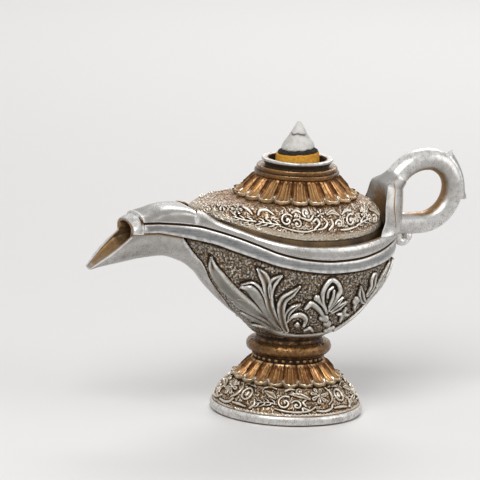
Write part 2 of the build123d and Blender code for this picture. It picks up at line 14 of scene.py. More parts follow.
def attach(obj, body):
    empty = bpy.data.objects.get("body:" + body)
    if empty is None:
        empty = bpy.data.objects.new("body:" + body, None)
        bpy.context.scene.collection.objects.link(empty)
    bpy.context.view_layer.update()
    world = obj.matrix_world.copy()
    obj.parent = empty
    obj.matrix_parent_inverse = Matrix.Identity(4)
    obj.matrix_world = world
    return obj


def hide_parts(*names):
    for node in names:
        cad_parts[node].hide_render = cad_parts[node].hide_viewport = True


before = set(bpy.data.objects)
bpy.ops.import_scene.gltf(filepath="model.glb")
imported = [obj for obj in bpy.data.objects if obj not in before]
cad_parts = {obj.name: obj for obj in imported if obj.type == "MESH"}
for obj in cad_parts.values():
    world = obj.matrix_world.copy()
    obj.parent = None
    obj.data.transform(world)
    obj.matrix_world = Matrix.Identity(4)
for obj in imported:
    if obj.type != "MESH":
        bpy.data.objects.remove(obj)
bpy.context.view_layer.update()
MM = 0.001

# Sizes shared with the frame
bowl_seat = 26.9
bowl_height = 45.2
bowl_right = 34.0
bowl_left = 46.0
bowl_half_width = 26.0
bowl_floor_radius = 12.6
bowl_wall = 2.6
bowl_floor = 3.0
highest_level = 71.0  # the bowl's form is read up to here
flank_run = 48.0
spout_half_width = 7.2
level_shares = (0.0, 0.07, 0.15, 0.25, 0.36, 0.47, 0.58, 0.735, 1.0)
right_shares = (0.0, 0.25, 0.44, 0.61, 0.81, 0.93, 0.98, 1.0, 1.0)
left_shares = (0.0, 0.096, 0.216, 0.371, 0.497, 0.611, 0.737, 0.925, 1.0)
width_shares = (0.0, 0.33, 0.55, 0.72, 0.866, 0.948, 0.985, 1.0, 1.0)
boat_shares = (0.0, 0.02, 0.10, 0.25, 0.50, 0.75, 1.0, 1.0, 1.0)
side_x_shares = (-1.04, -0.77, -0.667, -0.552, -0.417, -0.279, -0.108, 0.083, 0.25, 0.444, 0.583, 0.75)
rim_low, rim_rise = 59.7, 10.9
rim_shares = (1.0, 0.90, 0.633, 0.45, 0.248, 0.11, 0.018, 0.0, 0.014, 0.083, 0.138, 0.174)
groove_low, groove_rise = 55.2, 10.5
groove_shares = (1.0, 0.905, 0.80, 0.657, 0.448, 0.219, 0.067, 0.0, 0.019, 0.143, 0.30, 0.47)
band_low, band_rise = 51.2, 11.3
band_shares = (1.0, 0.788, 0.70, 0.54, 0.363, 0.186, 0.071, 0.0, 0.009, 0.088, 0.195, 0.40)
band_proud, band_wall = 1.0, 1.9
ledge_width, ledge_depth, ledge_thickness = 2.6, 2.4, 1.6
spout_reach, spout_tip_height, trough_height, trough_start = 71.0, 50.5, 61.2, 42.0
hood_front, hood_length = 59.0, 3.4
hood_opening_half, hood_opening_top, hood_turn_height, hood_crown = 5.0, 65.9, 63.2, 67.6
cover_start, cover_top, cover_wall, cover_fall = 38.0, 70.4, 1.7, 2.3
cover_x_shares = (0.0, 0.17, 0.37, 0.57, 0.79, 1.0)
cover_fall_shares = (0.35, 0.09, 0.0, 0.13, 0.52, 1.0)
keel_low, keel_high, keel_depth = 28.6, 53.6, 9.4
keel_x_shares = (0.183, 0.246, 0.303, 0.366, 0.43, 0.493, 0.563, 0.662, 0.761, 0.859, 0.915, 0.965, 1.0)
keel_height_shares = (0.0, 0.128, 0.24, 0.392, 0.572, 0.784, 0.92, 1.0, 0.976, 0.928, 0.904, 0.876, 0.848)
keel_width_shares = (1.0, 1.0, 1.0, 1.0, 1.0, 1.0, 1.0, 1.0, 1.0, 1.0, 0.93, 0.65, 0.38)
keel_depth_shares = (1.0, 1.0, 1.0, 1.0, 1.0, 1.0, 1.0, 1.0, 0.91, 0.74, 0.51, 0.28, 0.10)
channel_height, channel_drop = 58.4, 8.2
channel_x_shares = (0.465, 0.634, 0.775, 0.845, 0.908, 0.965, 1.014)
channel_drop_shares = (0.25, 0.13, 0.0, 0.13, 0.48, 0.80, 1.0)
channel_width_shares = (1.0, 1.0, 1.0, 1.0, 0.88, 0.56, 0.25)
lid_base, lid_top, lid_left, lid_wall, lid_bore = 60.0, 72.2, 37.2, 2.4, 7.5
lid_right = bowl_right - 4.8
lid_inset = 2.5
lid_level_shares = (0.0, 0.30, 0.55, 0.78, 0.91, 0.975, 1.0)
lid_right_shares = (1.0, 1.0, 0.985, 0.92, 0.84, 0.77, 0.71)
lid_left_shares = (1.0, 1.0, 1.0, 0.99, 0.88, 0.68, 0.53)
lid_width_shares = (0.985, 1.02, 1.01, 0.955, 0.89, 0.83, 0.79)
lid_boat_shares = (1.0, 1.0, 1.0, 0.95, 0.70, 0.35, 0.15)
lid_edge_low, lid_edge_rise = 61.2, 10.9
lid_edge_shares = (0.73, 0.66, 0.53, 0.40, 0.24, 0.11, 0.018, 0.0, 0.014, 0.083, 0.138, 0.174)
cone_seat, cone_tall, raw_top, burnt_top = 81.2, 15.4, 5.3, 6.5
rift_height = 92.6


# Numbers

def smooth_table(xs, ys):
    """A smooth curve through a table, without overshoot."""
    xs, ys = np.asarray(xs, float), np.asarray(ys, float)
    step, slope = np.diff(xs), np.diff(ys) / np.diff(xs)
    tangent = np.zeros_like(ys)
    both = slope[1:] * slope[:-1]
    safe = where(both > 0, slope[1:] + slope[:-1], 1)
    tangent[1:-1] = where(both > 0, 2 * both / safe, 0)
    tangent[0], tangent[-1] = slope[0], slope[-1]

    def value(x):
        x = clip(x, xs[0], xs[-1])
        i = clip(np.searchsorted(xs, x) - 1, 0, len(step) - 1)
        t = (x - xs[i]) / step[i]
        return ((2 * t ** 3 - 3 * t ** 2 + 1) * ys[i] + (t ** 3 - 2 * t ** 2 + t) * step[i] * tangent[i]
                + (3 * t ** 2 - 2 * t ** 3) * ys[i + 1] + (t ** 3 - t ** 2) * step[i] * tangent[i + 1])
    return value


def ease(low, high, x):
    """A smooth step from 0 at low to 1 at high."""
    t = clip((x - low) / (high - low), 0, 1)
    return t * t * (3 - 2 * t)


def full_turn(count):
    """Angles of a whole turn, as a column."""
    return linspace(0, 2 * pi, count, endpoint=False)[:, None]


def circles(r, z, turn):
    """Points on circles round the Z axis."""
    return stack([r * cos(turn), r * sin(turn), z + 0 * turn], -1)


def sphere(sides, rings):
    """Points on a ball of radius 1."""
    a, b = full_turn(sides), linspace(0, pi, rings)[None]
    return stack([cos(a) * sin(b), sin(a) * sin(b), cos(b) + 0 * a], -1)


def lattice(cell, seed):
    """A repeatable random number for each whole-number cell."""
    a = cell[..., 0] * 73856093 ^ cell[..., 1] * 19349663 ^ cell[..., 2] * 83492791 ^ seed * 2654435761
    a = (a ^ (a >> 13)) * 1274126177
    return ((a ^ (a >> 16)) & 0xffff) / 65535.0


def noise(points, size, seed):
    """Smooth noise from -1 to 1 with features of about the given size."""
    p = np.asarray(points) / size
    cell = np.floor(p).astype(np.int64)
    f = p - cell
    f = f * f * (3 - 2 * f)
    total = 0
    for corner in np.ndindex(2, 2, 2):
        weight = np.prod([f[..., k] if corner[k] else 1 - f[..., k] for k in range(3)], axis=0)
        total = total + weight * lattice(cell + array(corner), seed)
    return 2 * total - 1


def through(points, per=12):
    """Points along a smooth line through the given ones."""
    p = np.asarray(points, float)
    p = np.vstack([2 * p[0] - p[1], p, 2 * p[-1] - p[-2]])
    t = linspace(0, 1, per, endpoint=False)[:, None]
    runs = []
    for a, b, c, d in zip(p, p[1:], p[2:], p[3:]):
        runs.append(0.5 * (2 * b + (c - a) * t + (2 * a - 5 * b + 4 * c - d) * t ** 2
                           + (3 * b - a - 3 * c + d) * t ** 3))
    return np.vstack(runs + [p[-2:-1]])


# Form of the bowl, the rim and the lid

def flank(x, half_width, narrow):
    swell = where(x < 0, cos(pi * maximum(x, -flank_run) / (2 * flank_run)) ** 2, 1)
    return narrow + (half_width - narrow) * swell


def boat_points(turn, z, right, left, half_width, narrow, boat):
    """Points of the boat's outline: an ellipse on the handle's side, drawn out on the spout's."""
    share = cos(turn)
    side = where(sin(turn) > 0, 1, -1)
    x_back, y_back = right * share, half_width * sin(turn)
    x = left * share
    blunt = flank(x, half_width, narrow) * sqrt(clip(1 - share ** 8, 0, 1))
    oval = half_width * sqrt(clip(1 - share ** 2, 0, 1))
    y = side * (oval + boat * (blunt - oval))
    return stack([where(share > 0, x_back, x), where(share > 0, y_back, y), z + 0 * share], -1)


def side_table(low, rise, shares):
    return smooth_table(array(side_x_shares) * flank_run, low + array(shares) * rise)


rim_z = side_table(rim_low, rim_rise, rim_shares)
groove_z = side_table(groove_low, groove_rise, groove_shares)
band_z = side_table(band_low, band_rise, band_shares)
lid_edge_z = side_table(lid_edge_low, lid_edge_rise, lid_edge_shares)


class Levels:
    """The tables of a form's levels, read at any place between them."""

    def __init__(self, base, height, shares, right, left, width, boat, narrow):
        place = arange(len(shares))
        self.last = len(shares) - 1
        self.z = smooth_table(place, base + array(shares) * height)
        self.place = smooth_table(base + array(shares) * height, place)
        self.right = smooth_table(place, right)
        self.left = smooth_table(place, left)
        self.width = smooth_table(place, width)
        self.boat = smooth_table(place, boat)
        self.narrow = narrow

    def points(self, turn, place, grown=0.0):
        return boat_points(turn, self.z(place), self.right(place) + grown, self.left(place) + grown,
                           self.width(place) + grown, self.narrow + grown, self.boat(place))

    def half_width(self, x, z):
        """Half width at x on the level z, and zero past the form's ends."""
        place = self.place(z)
        right, left, width = self.right(place), self.left(place), self.width(place)
        back = width * sqrt(clip(1 - (x / right) ** 2, 0, 1))
        share = clip(x / left, -1, 0)
        blunt = flank(x, width, self.narrow) * sqrt(1 - share ** 8)
        oval = width * sqrt(1 - share ** 2)
        return where(x > 0, back, oval + self.boat(place) * (blunt - oval))


def spread(shares, end):
    return bowl_floor_radius + array(shares) * (end - bowl_floor_radius)


bowl = Levels(bowl_seat, bowl_height, level_shares, spread(right_shares, bowl_right),
              spread(left_shares, bowl_left), spread(width_shares, bowl_half_width),
              boat_shares, spout_half_width)
lid = Levels(lid_base, lid_top - lid_base, lid_level_shares, array(lid_right_shares) * lid_right,
             array(lid_left_shares) * lid_left, array(lid_width_shares) * (bowl_half_width - lid_inset),
             lid_boat_shares, spout_half_width - lid_inset)


# Raised ornament, as heights over a surface

class Relief:
    """Heights over a surface whose points have two flat coordinates, for ornament that stands up to tall."""

    def __init__(self, across, up, tall=1.0):
        self.across, self.up, self.tall = across, up, tall
        self.height = np.zeros_like(across)

    def stroke(self, points, widths, height, kind="round", per=10):
        """Raises a line of changing width. A leaf has raised edges, a round stroke is domed."""
        line = through(points, per) if len(points) > 2 else np.asarray(points, float)
        along = linspace(0, 1, len(line))
        width = np.interp(along, linspace(0, 1, len(widths)), widths)
        reach = max(widths)
        near = ((self.across > line[:, 0].min() - reach) & (self.across < line[:, 0].max() + reach)
                & (self.up > line[:, 1].min() - reach) & (self.up < line[:, 1].max() + reach))
        if not near.any():
            return
        p = stack([self.across[near], self.up[near]], -1)
        best = np.full(len(p), 9.0)
        for a, b, wa, wb in zip(line, line[1:], width, width[1:]):
            run = b - a
            t = clip(((p - a) @ run) / max(run @ run, 1e-9), 0, 1)
            gap = np.linalg.norm(p - a - t[:, None] * run, axis=1)
            best = minimum(best, gap / maximum(wa + t * (wb - wa), 0.05))
        q = clip(best, 0, 1)
        rise = sqrt(1 - q ** 2) if kind == "round" else (1 - q ** 6) * (0.66 + 0.40 * ease(0.05, 0.75, q))
        self.height[near] = maximum(self.height[near], height * rise * (best < 1))

    def stem(self, share, widths, *points):
        self.stroke(points, widths, share * self.tall)

    def leaf(self, share, widths, *points):
        self.stroke(points, widths, share * self.tall, "leaf")

    def volute(self, x, z, radius, start, turns, width, way=1):
        """A spiral that winds in to a small boss."""
        t = linspace(0, 1, 22)
        angle = np.radians(start) + way * 2 * pi * turns * t
        size = radius * (1 - 0.78 * t)
        points = stack([x + size * cos(angle), z + size * sin(angle)], -1)
        self.stroke(points, (width, width, width * 1.2), self.tall, per=2)
        self.stem(1.1, (width * 1.3,), (x, z), (x + 0.01, z))

    def flower(self, x, z, radius, petals):
        inner, outer = 0.38 * radius, 0.78 * radius
        for k in range(petals):
            a = 2 * pi * k / petals
            self.leaf(1, (0.16 * radius, 0.26 * radius), (x + inner * cos(a), z + inner * sin(a)),
                      (x + outer * cos(a), z + outer * sin(a)))
        self.stem(1.3, (0.24 * radius,), (x, z), (x + 0.01, z))

    def sprig(self, points, leaves, length, width):
        """A stem with short leaves that curl off both of its sides."""
        self.stem(1, (width, width * 0.7), *points)
        line = through(points, 12)
        for k in range(leaves):
            i = int((k + 0.7) / leaves * (len(line) - 2))
            run = line[i + 1] - line[i]
            run = run / np.linalg.norm(run)
            side = array([-run[1], run[0]]) * (1 if k % 2 else -1)
            middle, tip = run * 0.5 + side * 0.7, run * 1.1 + side * 0.75
            self.stem(0.9, (width * 0.8, width, width * 0.5), line[i], line[i] + middle * length * 0.6,
                      line[i] + tip * length)


def filler(relief, count, low, high, height, seed):
    """Small curls scattered at random over a strip, lower than the ornament they lie between."""
    rng = np.random.default_rng(seed)
    left, right = relief.across.min(), relief.across.max()
    for _ in range(count):
        x, z, way = rng.uniform(left, right), rng.uniform(low, high), rng.uniform(0, 2 * pi)
        size, bend = rng.uniform(0.5, 1.0), rng.choice((-1, 1)) * rng.uniform(0.7, 1.3)
        arc = [(x + size * cos(way + bend * t), z + size * sin(way + bend * t)) for t in (-1, 0, 1)]
        relief.stroke(arc, (0.16, 0.28, 0.18), height, per=3)


# Meshes

def surface_normals(points, wrap_u):
    """Unit normals of a grid of points, to the left of going round and up."""
    if wrap_u:
        du = np.roll(points, -1, 0) - np.roll(points, 1, 0)
    else:
        du = np.gradient(points, axis=0)
    dv = np.gradient(points, axis=1)
    n = np.cross(du, dv)
    return n / maximum(np.linalg.norm(n, axis=-1, keepdims=True), 1e-9)


def pushed(points, lift, wrap_u=True):
    """Points moved outward by lift along the surface's normals."""
    return points + surface_normals(points, wrap_u) * lift[..., None]


class Piece:
    """Grids of points that become one mesh, with what the paint needs to know at each point."""

    def __init__(self):
        self.points, self.faces, self.soil, self.ground, self.count = [], [], [], [], 0

    def grid(self, points, wrap_u=False, wrap_v=False, soil=0.0, ground=0.0):
        nu, nv = points.shape[:2]
        i, j = np.meshgrid(arange(nu if wrap_u else nu - 1), arange(nv if wrap_v else nv - 1), indexing="ij")
        i2, j2 = (i + 1) % nu, (j + 1) % nv
        quads = stack([i * nv + j, i2 * nv + j, i2 * nv + j2, i * nv + j2], -1).reshape(-1, 4)
        self.points.append(points.reshape(-1, 3))
        self.faces += (quads + self.count).tolist()
        self.soil.append(np.broadcast_to(soil, (nu, nv)).ravel())
        self.ground.append(np.broadcast_to(ground, (nu, nv)).ravel())
        self.count += nu * nv
        return self

    def cap(self, loop, soil=0.0):
        """Closes a loop of points with one face."""
        self.points.append(np.asarray(loop))
        self.faces.append(list(range(self.count, self.count + len(loop))))
        self.soil.append(np.broadcast_to(soil, (len(loop),)))
        self.ground.append(np.zeros(len(loop)))
        self.count += len(loop)
        return self

    def loops(self, loops, soil=0.0, ground=0.0):
        """A skin over closed loops, with its ends closed."""
        soil = np.broadcast_to(soil, loops.shape[:2])
        self.grid(loops, wrap_v=True, soil=soil, ground=ground)
        self.cap(loops[0], soil[0])
        return self.cap(loops[-1][::-1], soil[-1][::-1])

    def build(self, name, body, slot, material, *nodes):
        mesh = bpy.data.meshes.new(name)
        mesh.from_pydata(np.vstack(self.points) * MM, [], self.faces)
        mesh.attributes.new("soil", "FLOAT", "POINT").data.foreach_set("value", concatenate(self.soil))
        mesh.attributes.new("ground", "FLOAT", "POINT").data.foreach_set("value", concatenate(self.ground))
        form = bmesh.new()
        form.from_mesh(mesh)
        bmesh.ops.remove_doubles(form, verts=form.verts, dist=0.004 * MM)
        bmesh.ops.dissolve_degenerate(form, edges=form.edges, dist=0.002 * MM)
        bmesh.ops.triangulate(form, faces=[f for f in form.faces if len(f.verts) > 4])
        bmesh.ops.recalc_face_normals(form, faces=form.faces)
        form.to_mesh(mesh)
        form.free()
        mesh.shade_smooth()
        mesh.set_sharp_from_angle(angle=radians(50))
        wear_layers(mesh)
        piece = bpy.data.objects.new(name, mesh)
        bpy.context.scene.collection.objects.link(piece)
        mesh.materials.append(material)
        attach(piece, body)
        if nodes:
            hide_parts(*nodes)
        return piece


def wear_layers(mesh):
    """Stores how far each point lies under or over its smoothed surroundings, for stain and rubbed edges."""
    rounds, depth = 10, 0.12
    count = len(mesh.vertices)
    co = np.empty(count * 3)
    mesh.vertices.foreach_get("co", co)
    co = co.reshape(-1, 3) / MM
    edges = np.empty(len(mesh.edges) * 2, int)
    mesh.edges.foreach_get("vertices", edges)
    a, b = edges.reshape(-1, 2).T
    degree = maximum(np.bincount(a, minlength=count) + np.bincount(b, minlength=count), 1)[:, None]
    normal = np.empty(count * 3)
    mesh.vertices.foreach_get("normal", normal)
    normal = normal.reshape(-1, 3)
    soft = co.copy()
    for _ in range(rounds):
        total = stack([np.bincount(a, soft[b, k], count) + np.bincount(b, soft[a, k], count)
                          for k in range(3)], -1)
        soft = 0.3 * soft + 0.7 * total / degree
    lift = ((soft - co) * normal).sum(1) / depth
    for name, value in (("hollow", lift), ("crest", -lift)):
        mesh.attributes.new(name, "FLOAT", "POINT").data.foreach_set("value", clip(value, 0, 1))


def lathe(profile, segments=160, rough=0.0, grain=2.0):
    """A grid round the Z axis from a closed profile of (radius, height), with small cast unevenness."""
    profile = np.asarray(profile, float)
    points = circles(profile[:, 0][None], profile[:, 1][None], full_turn(segments))
    if rough:
        bump = rough * noise(points, grain, 3) + 0.5 * rough * noise(points, grain / 3, 4)
        points = pushed(points, bump)
    return points


def rounded(corners, radius, steps=5, spacing=1.0):
    """A closed profile through corners, each rounded, with points between them."""
    corners = np.asarray(corners, float)
    if np.isscalar(radius):
        radius = [radius] * len(corners)
    points = []
    for before, here, after, r in zip(np.roll(corners, 1, 0), corners, np.roll(corners, -1, 0), radius):
        back, on = before - here, after - here
        lb, lo = np.linalg.norm(back), np.linalg.norm(on)
        r = min(r, 0.45 * lb, 0.45 * lo)
        start, end = here + back / lb * r, here + on / lo * r
        if points:
            gap = np.linalg.norm(start - points[-1])
            fill = int(gap / spacing)
            points += [points[-1] + (start - points[-1]) * k / (fill + 1) for k in range(1, fill + 1)]
        for t in linspace(0, 1, steps if r > 0 else 1):
            points.append((1 - t) ** 2 * start + 2 * t * (1 - t) * here + t ** 2 * end)
    gap = np.linalg.norm(points[0] - points[-1])
    fill = int(gap / spacing)
    points += [points[-1] + (points[0] - points[-1]) * k / (fill + 1) for k in range(1, fill + 1)]
    return array(points)


def tube(path, radius, sides):
    """Loops round a path that lies in the XZ plane."""
    path = np.asarray(path, float)
    run = np.gradient(path, axis=0)
    run /= np.linalg.norm(run, axis=1, keepdims=True)
    across = stack([-run[:, 1], run[:, 0]], -1)
    radius = np.broadcast_to(radius, (len(path),))
    turn = linspace(0, 2 * pi, sides, endpoint=False)
    loops = np.zeros((len(path), sides, 3))
    loops[..., 0] = path[:, :1] + across[:, :1] * radius[:, None] * cos(turn)
    loops[..., 1] = radius[:, None] * sin(turn)
    loops[..., 2] = path[:, 1:] + across[:, 1:] * radius[:, None] * cos(turn)
    return loops


# Paints

class Paint:
    """A material and short ways to build its nodes."""

    def __init__(self, name):
        self.material = bpy.data.materials.new(name)
        self.material.use_nodes = True
        self.nodes, self.links = self.material.node_tree.nodes, self.material.node_tree.links
        self.shader = self.nodes["Principled BSDF"]
        self.place = self.nodes.new("ShaderNodeTexCoord").outputs["Object"]

    def join(self, value, socket):
        if isinstance(value, bpy.types.NodeSocket):
            self.links.new(value, socket)
        else:
            socket.default_value = value

    def sum(self, operation, a, b, clamp=False):
        node = self.nodes.new("ShaderNodeMath")
        node.operation = operation
        node.use_clamp = clamp
        self.join(a, node.inputs[0])
        self.join(b, node.inputs[1])
        return node.outputs[0]

    def plus(self, a, b, clamp=False):
        return self.sum("ADD", a, b, clamp)

    def less(self, a, b):
        return self.sum("SUBTRACT", a, b)

    def times(self, a, b, clamp=False):
        return self.sum("MULTIPLY", a, b, clamp)

    def layer(self, name):
        node = self.nodes.new("ShaderNodeAttribute")
        node.attribute_name = name
        return node.outputs["Fac"]

    def noise(self, size, detail=3.0, stretch=None):
        """Noise whose features are about size millimetres."""
        node = self.nodes.new("ShaderNodeTexNoise")
        node.inputs["Scale"].default_value = 1 / (size * MM)
        node.inputs["Detail"].default_value = detail
        place = self.place
        if stretch:
            mapping = self.nodes.new("ShaderNodeMapping")
            mapping.inputs["Scale"].default_value = stretch
            self.links.new(place, mapping.inputs["Vector"])
            place = mapping.outputs["Vector"]
        self.links.new(place, node.inputs["Vector"])
        return node.outputs["Fac"]

    def pebbles(self, size):
        node = self.nodes.new("ShaderNodeTexVoronoi")
        node.inputs["Scale"].default_value = 1 / (size * MM)
        self.links.new(self.place, node.inputs["Vector"])
        return node.outputs["Distance"]

    def ramp(self, value, stops):
        node = self.nodes.new("ShaderNodeValToRGB")
        while len(node.color_ramp.elements) < len(stops):
            node.color_ramp.elements.new(1.0)
        for element, (position, colour) in zip(node.color_ramp.elements, stops):
            element.position = position
            element.color = (*colour, 1) if not np.isscalar(colour) else (colour, colour, colour, 1)
        self.links.new(value, node.inputs["Fac"])
        return node.outputs["Color"]

    def mix(self, share, a, b):
        node = self.nodes.new("ShaderNodeMix")
        node.data_type = "RGBA"
        self.join(share, node.inputs[0])
        for value, socket in ((a, node.inputs[6]), (b, node.inputs[7])):
            self.join(value if isinstance(value, bpy.types.NodeSocket) else (*value, 1), socket)
        return node.outputs[2]

    def finish(self, colour, roughness, bump=None, depth=0.1, strength=0.5, metallic=0.0, specular=0.5):
        self.join(colour if isinstance(colour, bpy.types.NodeSocket) else (*colour, 1),
                  self.shader.inputs["Base Color"])
        self.join(roughness, self.shader.inputs["Roughness"])
        self.shader.inputs["Metallic"].default_value = metallic
        self.shader.inputs["Specular IOR Level"].default_value = specular
        if bump is not None:
            node = self.nodes.new("ShaderNodeBump")
            node.inputs["Strength"].default_value = strength
            node.inputs["Distance"].default_value = depth * MM
            self.links.new(bump, node.inputs["Height"])
            self.links.new(node.outputs["Normal"], self.shader.inputs["Normal"])
        return self.material


def antique(name, base, dull, light, warm, deep, metallic=0.65, rough=0.36, ground=None, pitted=True,
            reach=1.0, speck=0.25, brushed=0.0, polish=1.0):
    """Metallic paint over cast resin: warm and dark stain in the hollows, rubbed bright on the crests.
    The ground has two colours, and a third where it is pitted or brushed."""
    paint = Paint(name)
    hollow, crest, soil, flat = (paint.layer(k) for k in ("hollow", "crest", "soil", "ground"))
    cloud, grain, fine = paint.noise(9), paint.noise(1.6, 4), paint.noise(0.45, 3)
    tone = paint.mix(paint.ramp(cloud, [(0.35, 0.0), (0.65, 1.0)]), base, dull)
    # the soil layer adds each piece's own stain and its painted shade to the patina in the hollows
    stain = paint.plus(paint.times(hollow, 0.85 * reach), soil)
    stain = paint.plus(stain, paint.times(paint.less(grain, 0.52), 0.9 * speck + 0.35))
    bump = paint.plus(paint.times(fine, 0.5), paint.times(grain, 0.5))
    if ground:
        fleck = paint.ramp(paint.noise(1.1, 2), [(0.45, 0.0), (0.62, 1.0)])
        ground_tone = paint.mix(fleck, ground[0], ground[1])
        if pitted:
            pebble = paint.pebbles(0.85)
            pit = paint.ramp(pebble, [(0.25, 0.0), (0.62, 1.0)])
            ground_tone = paint.mix(pit, ground_tone, ground[2])
            glint = paint.ramp(paint.noise(0.6, 2), [(0.60, 0.0), (0.70, 1.0)])
            ground_tone = paint.mix(glint, ground_tone, light)
            bump = paint.plus(bump, paint.times(paint.times(pebble, -2.4), flat))
        if brushed:
            streak = paint.ramp(paint.noise(0.5, 3, (0.06, 0.06, 1.0)), [(0.4, 0.0), (0.7, 1.0)])
            ground_tone = paint.mix(paint.times(streak, brushed), ground_tone, ground[2])
        tone = paint.mix(flat, tone, ground_tone)
    worn = paint.times(crest, paint.ramp(grain, [(0.3, 0.35 * polish), (0.6, polish)]))
    tone = paint.mix(worn, tone, light)
    warm_share = paint.ramp(stain, [(0.22, 0.0), (0.42, 1.0)])
    deep_share = paint.ramp(stain, [(0.50, 0.0), (0.85, 1.0)])
    tone = paint.mix(deep_share, paint.mix(warm_share, tone, warm), deep)
    roughness = paint.plus(rough, paint.times(stain, 0.30))
    roughness = paint.plus(roughness, paint.times(paint.less(fine, 0.5), 0.25), True)
    return paint.finish(tone, roughness, bump, 0.12, 0.35, metallic)


silver = antique("silver_paint", (0.37, 0.36, 0.345), (0.25, 0.235, 0.22), (0.72, 0.71, 0.69),
                 (0.24, 0.135, 0.05), (0.035, 0.021, 0.012), rough=0.30, speck=0.15)
band_silver = antique("band_silver_paint", (0.37, 0.36, 0.345), (0.25, 0.235, 0.22), (0.72, 0.71, 0.69),
                      (0.24, 0.135, 0.05), (0.030, 0.018, 0.010), rough=0.35, speck=0.05, brushed=0.8,
                      ground=((0.185, 0.187, 0.19), (0.13, 0.132, 0.136), (0.27, 0.272, 0.275)), pitted=False)
pewter = antique("pewter_paint", (0.25, 0.24, 0.215), (0.17, 0.16, 0.14), (0.72, 0.70, 0.66),
                 (0.13, 0.075, 0.028), (0.018, 0.012, 0.007), rough=0.30, speck=0.2, reach=1.5, metallic=0.75,
                 ground=((0.15, 0.115, 0.075), (0.30, 0.175, 0.065), (0.018, 0.012, 0.007)))
champagne = antique("champagne_paint", (0.60, 0.555, 0.48), (0.44, 0.36, 0.25), (0.84, 0.80, 0.73),
                    (0.20, 0.10, 0.035), (0.035, 0.018, 0.007), rough=0.40, speck=0.35, reach=1.6, polish=0.8,
                    ground=((0.26, 0.145, 0.058), (0.45, 0.30, 0.15), (0.080, 0.037, 0.013)))
foot_paint = antique("foot_paint", (0.46, 0.40, 0.31), (0.32, 0.25, 0.165), (0.80, 0.755, 0.68),
                     (0.19, 0.10, 0.035), (0.028, 0.015, 0.006), rough=0.36, speck=0.3, reach=1.8, polish=0.8,
                     ground=((0.24, 0.135, 0.052), (0.40, 0.25, 0.11), (0.045, 0.024, 0.009)))
bronze = antique("bronze_paint", (0.40, 0.215, 0.075), (0.24, 0.105, 0.034), (0.86, 0.68, 0.40),
                 (0.15, 0.06, 0.018), (0.022, 0.011, 0.004), rough=0.32, speck=0.85, reach=1.6, pitted=False,
                 ground=((0.56, 0.52, 0.44), (0.74, 0.71, 0.64)))
dark_bronze = antique("dark_bronze_paint", (0.15, 0.064, 0.019), (0.060, 0.023, 0.007), (0.72, 0.46, 0.18),
                      (0.05, 0.020, 0.007), (0.010, 0.006, 0.003), metallic=0.70, rough=0.27, speck=1.2,
                      reach=1.3, polish=0.30)


def felt_paint():
    paint = Paint("felt")
    fluff = paint.noise(0.4, 4)
    tone = paint.ramp(fluff, [(0.35, (0.012, 0.012, 0.014)), (0.65, (0.05, 0.05, 0.055))])
    return paint.finish(tone, 0.95, fluff, 0.3, 0.8)


def inner_paint(name, light, dark):
    """Bare brown wash inside the casting, sooty with smoke. The skirt's darker copy is painted shadow in the
    slit under the lid.
    """
    paint = Paint(name)
    soot = paint.noise(7, 5)
    tone = paint.ramp(soot, [(0.35, dark), (0.65, light)])
    return paint.finish(tone, 0.62, paint.noise(0.7, 4), 0.15, 0.5, 0.2)


def incense_paint():
    """Pressed ochre powder, darker where it is scorched under the char."""
    paint = Paint("incense")
    height = paint.nodes.new("ShaderNodeSeparateXYZ")
    paint.links.new(paint.place, height.inputs[0])
    scorch = paint.times(paint.less(height.outputs["Z"], (cone_seat + 3.6) * MM), 1 / (2.2 * MM), True)
    grain = paint.noise(0.9, 5)
    tone = paint.ramp(grain, [(0.3, (0.60, 0.27, 0.025)), (0.7, (0.82, 0.44, 0.06))])
    tone = paint.mix(paint.times(paint.noise(2.2, 3, (3, 3, 0.3)), paint.times(scorch, 1.1)),
                     tone, (0.36, 0.10, 0.015))
    return paint.finish(tone, 0.85, grain, 0.25, 0.6, 0.0, 0.25)


def char_paint():
    paint = Paint("char")
    grain = paint.noise(0.6, 5)
    tone = paint.ramp(grain, [(0.35, (0.010, 0.009, 0.008)), (0.75, (0.055, 0.048, 0.042))])
    return paint.finish(tone, 0.95, grain, 0.3, 0.8, 0.0, 0.2)


def ash_paint():
    """Grey-white ash that keeps the cone's shape, with fine cracks and a dark rift near its tip."""
    paint = Paint("ash")
    grain, flake = paint.noise(0.5, 5), paint.noise(2.4, 4)
    tone = paint.ramp(flake, [(0.3, (0.50, 0.485, 0.455)), (0.7, (0.68, 0.665, 0.635))])
    crackle = paint.ramp(paint.pebbles(2.6), [(0.0, 0.0), (0.85, 0.0), (1.0, 0.35)])
    tone = paint.mix(crackle, tone, (0.30, 0.28, 0.25))
    tone = paint.mix(paint.layer("soil"), tone, (0.045, 0.043, 0.045))
    return paint.finish(tone, 0.95, paint.plus(grain, flake), 0.35, 0.7, 0.0, 0.15)


inside = inner_paint("inner_wash", (0.16, 0.105, 0.055), (0.05, 0.035, 0.022))
# painted shadow: the lid's skirt is painted darker to stand for the shade in the slit under the lid's edge
skirt_shadow_paint = inner_paint("skirt_shadow_wash", (0.15, 0.090, 0.035), (0.035, 0.021, 0.010))
felt = felt_paint()

# Foot

foot_radius, ring_low, ring_top, ring_inner = 25.2, 0.3, 3.5, 22.0
pad_thickness = 1.2
dome_edge, shoulder_radius, shoulder_z, column_radius = 24.2, 18.0, 11.2, 8.5
bead_low, bead_high, bead_row_radius = 17.8, 19.6, 11.2
torus_radius, torus_middle, torus_z, torus_top = 2.1, 11.9, 22.3, 24.4
neck_radius = 11.4
axis_hole = 0.2  # turned forms end this far from the axis


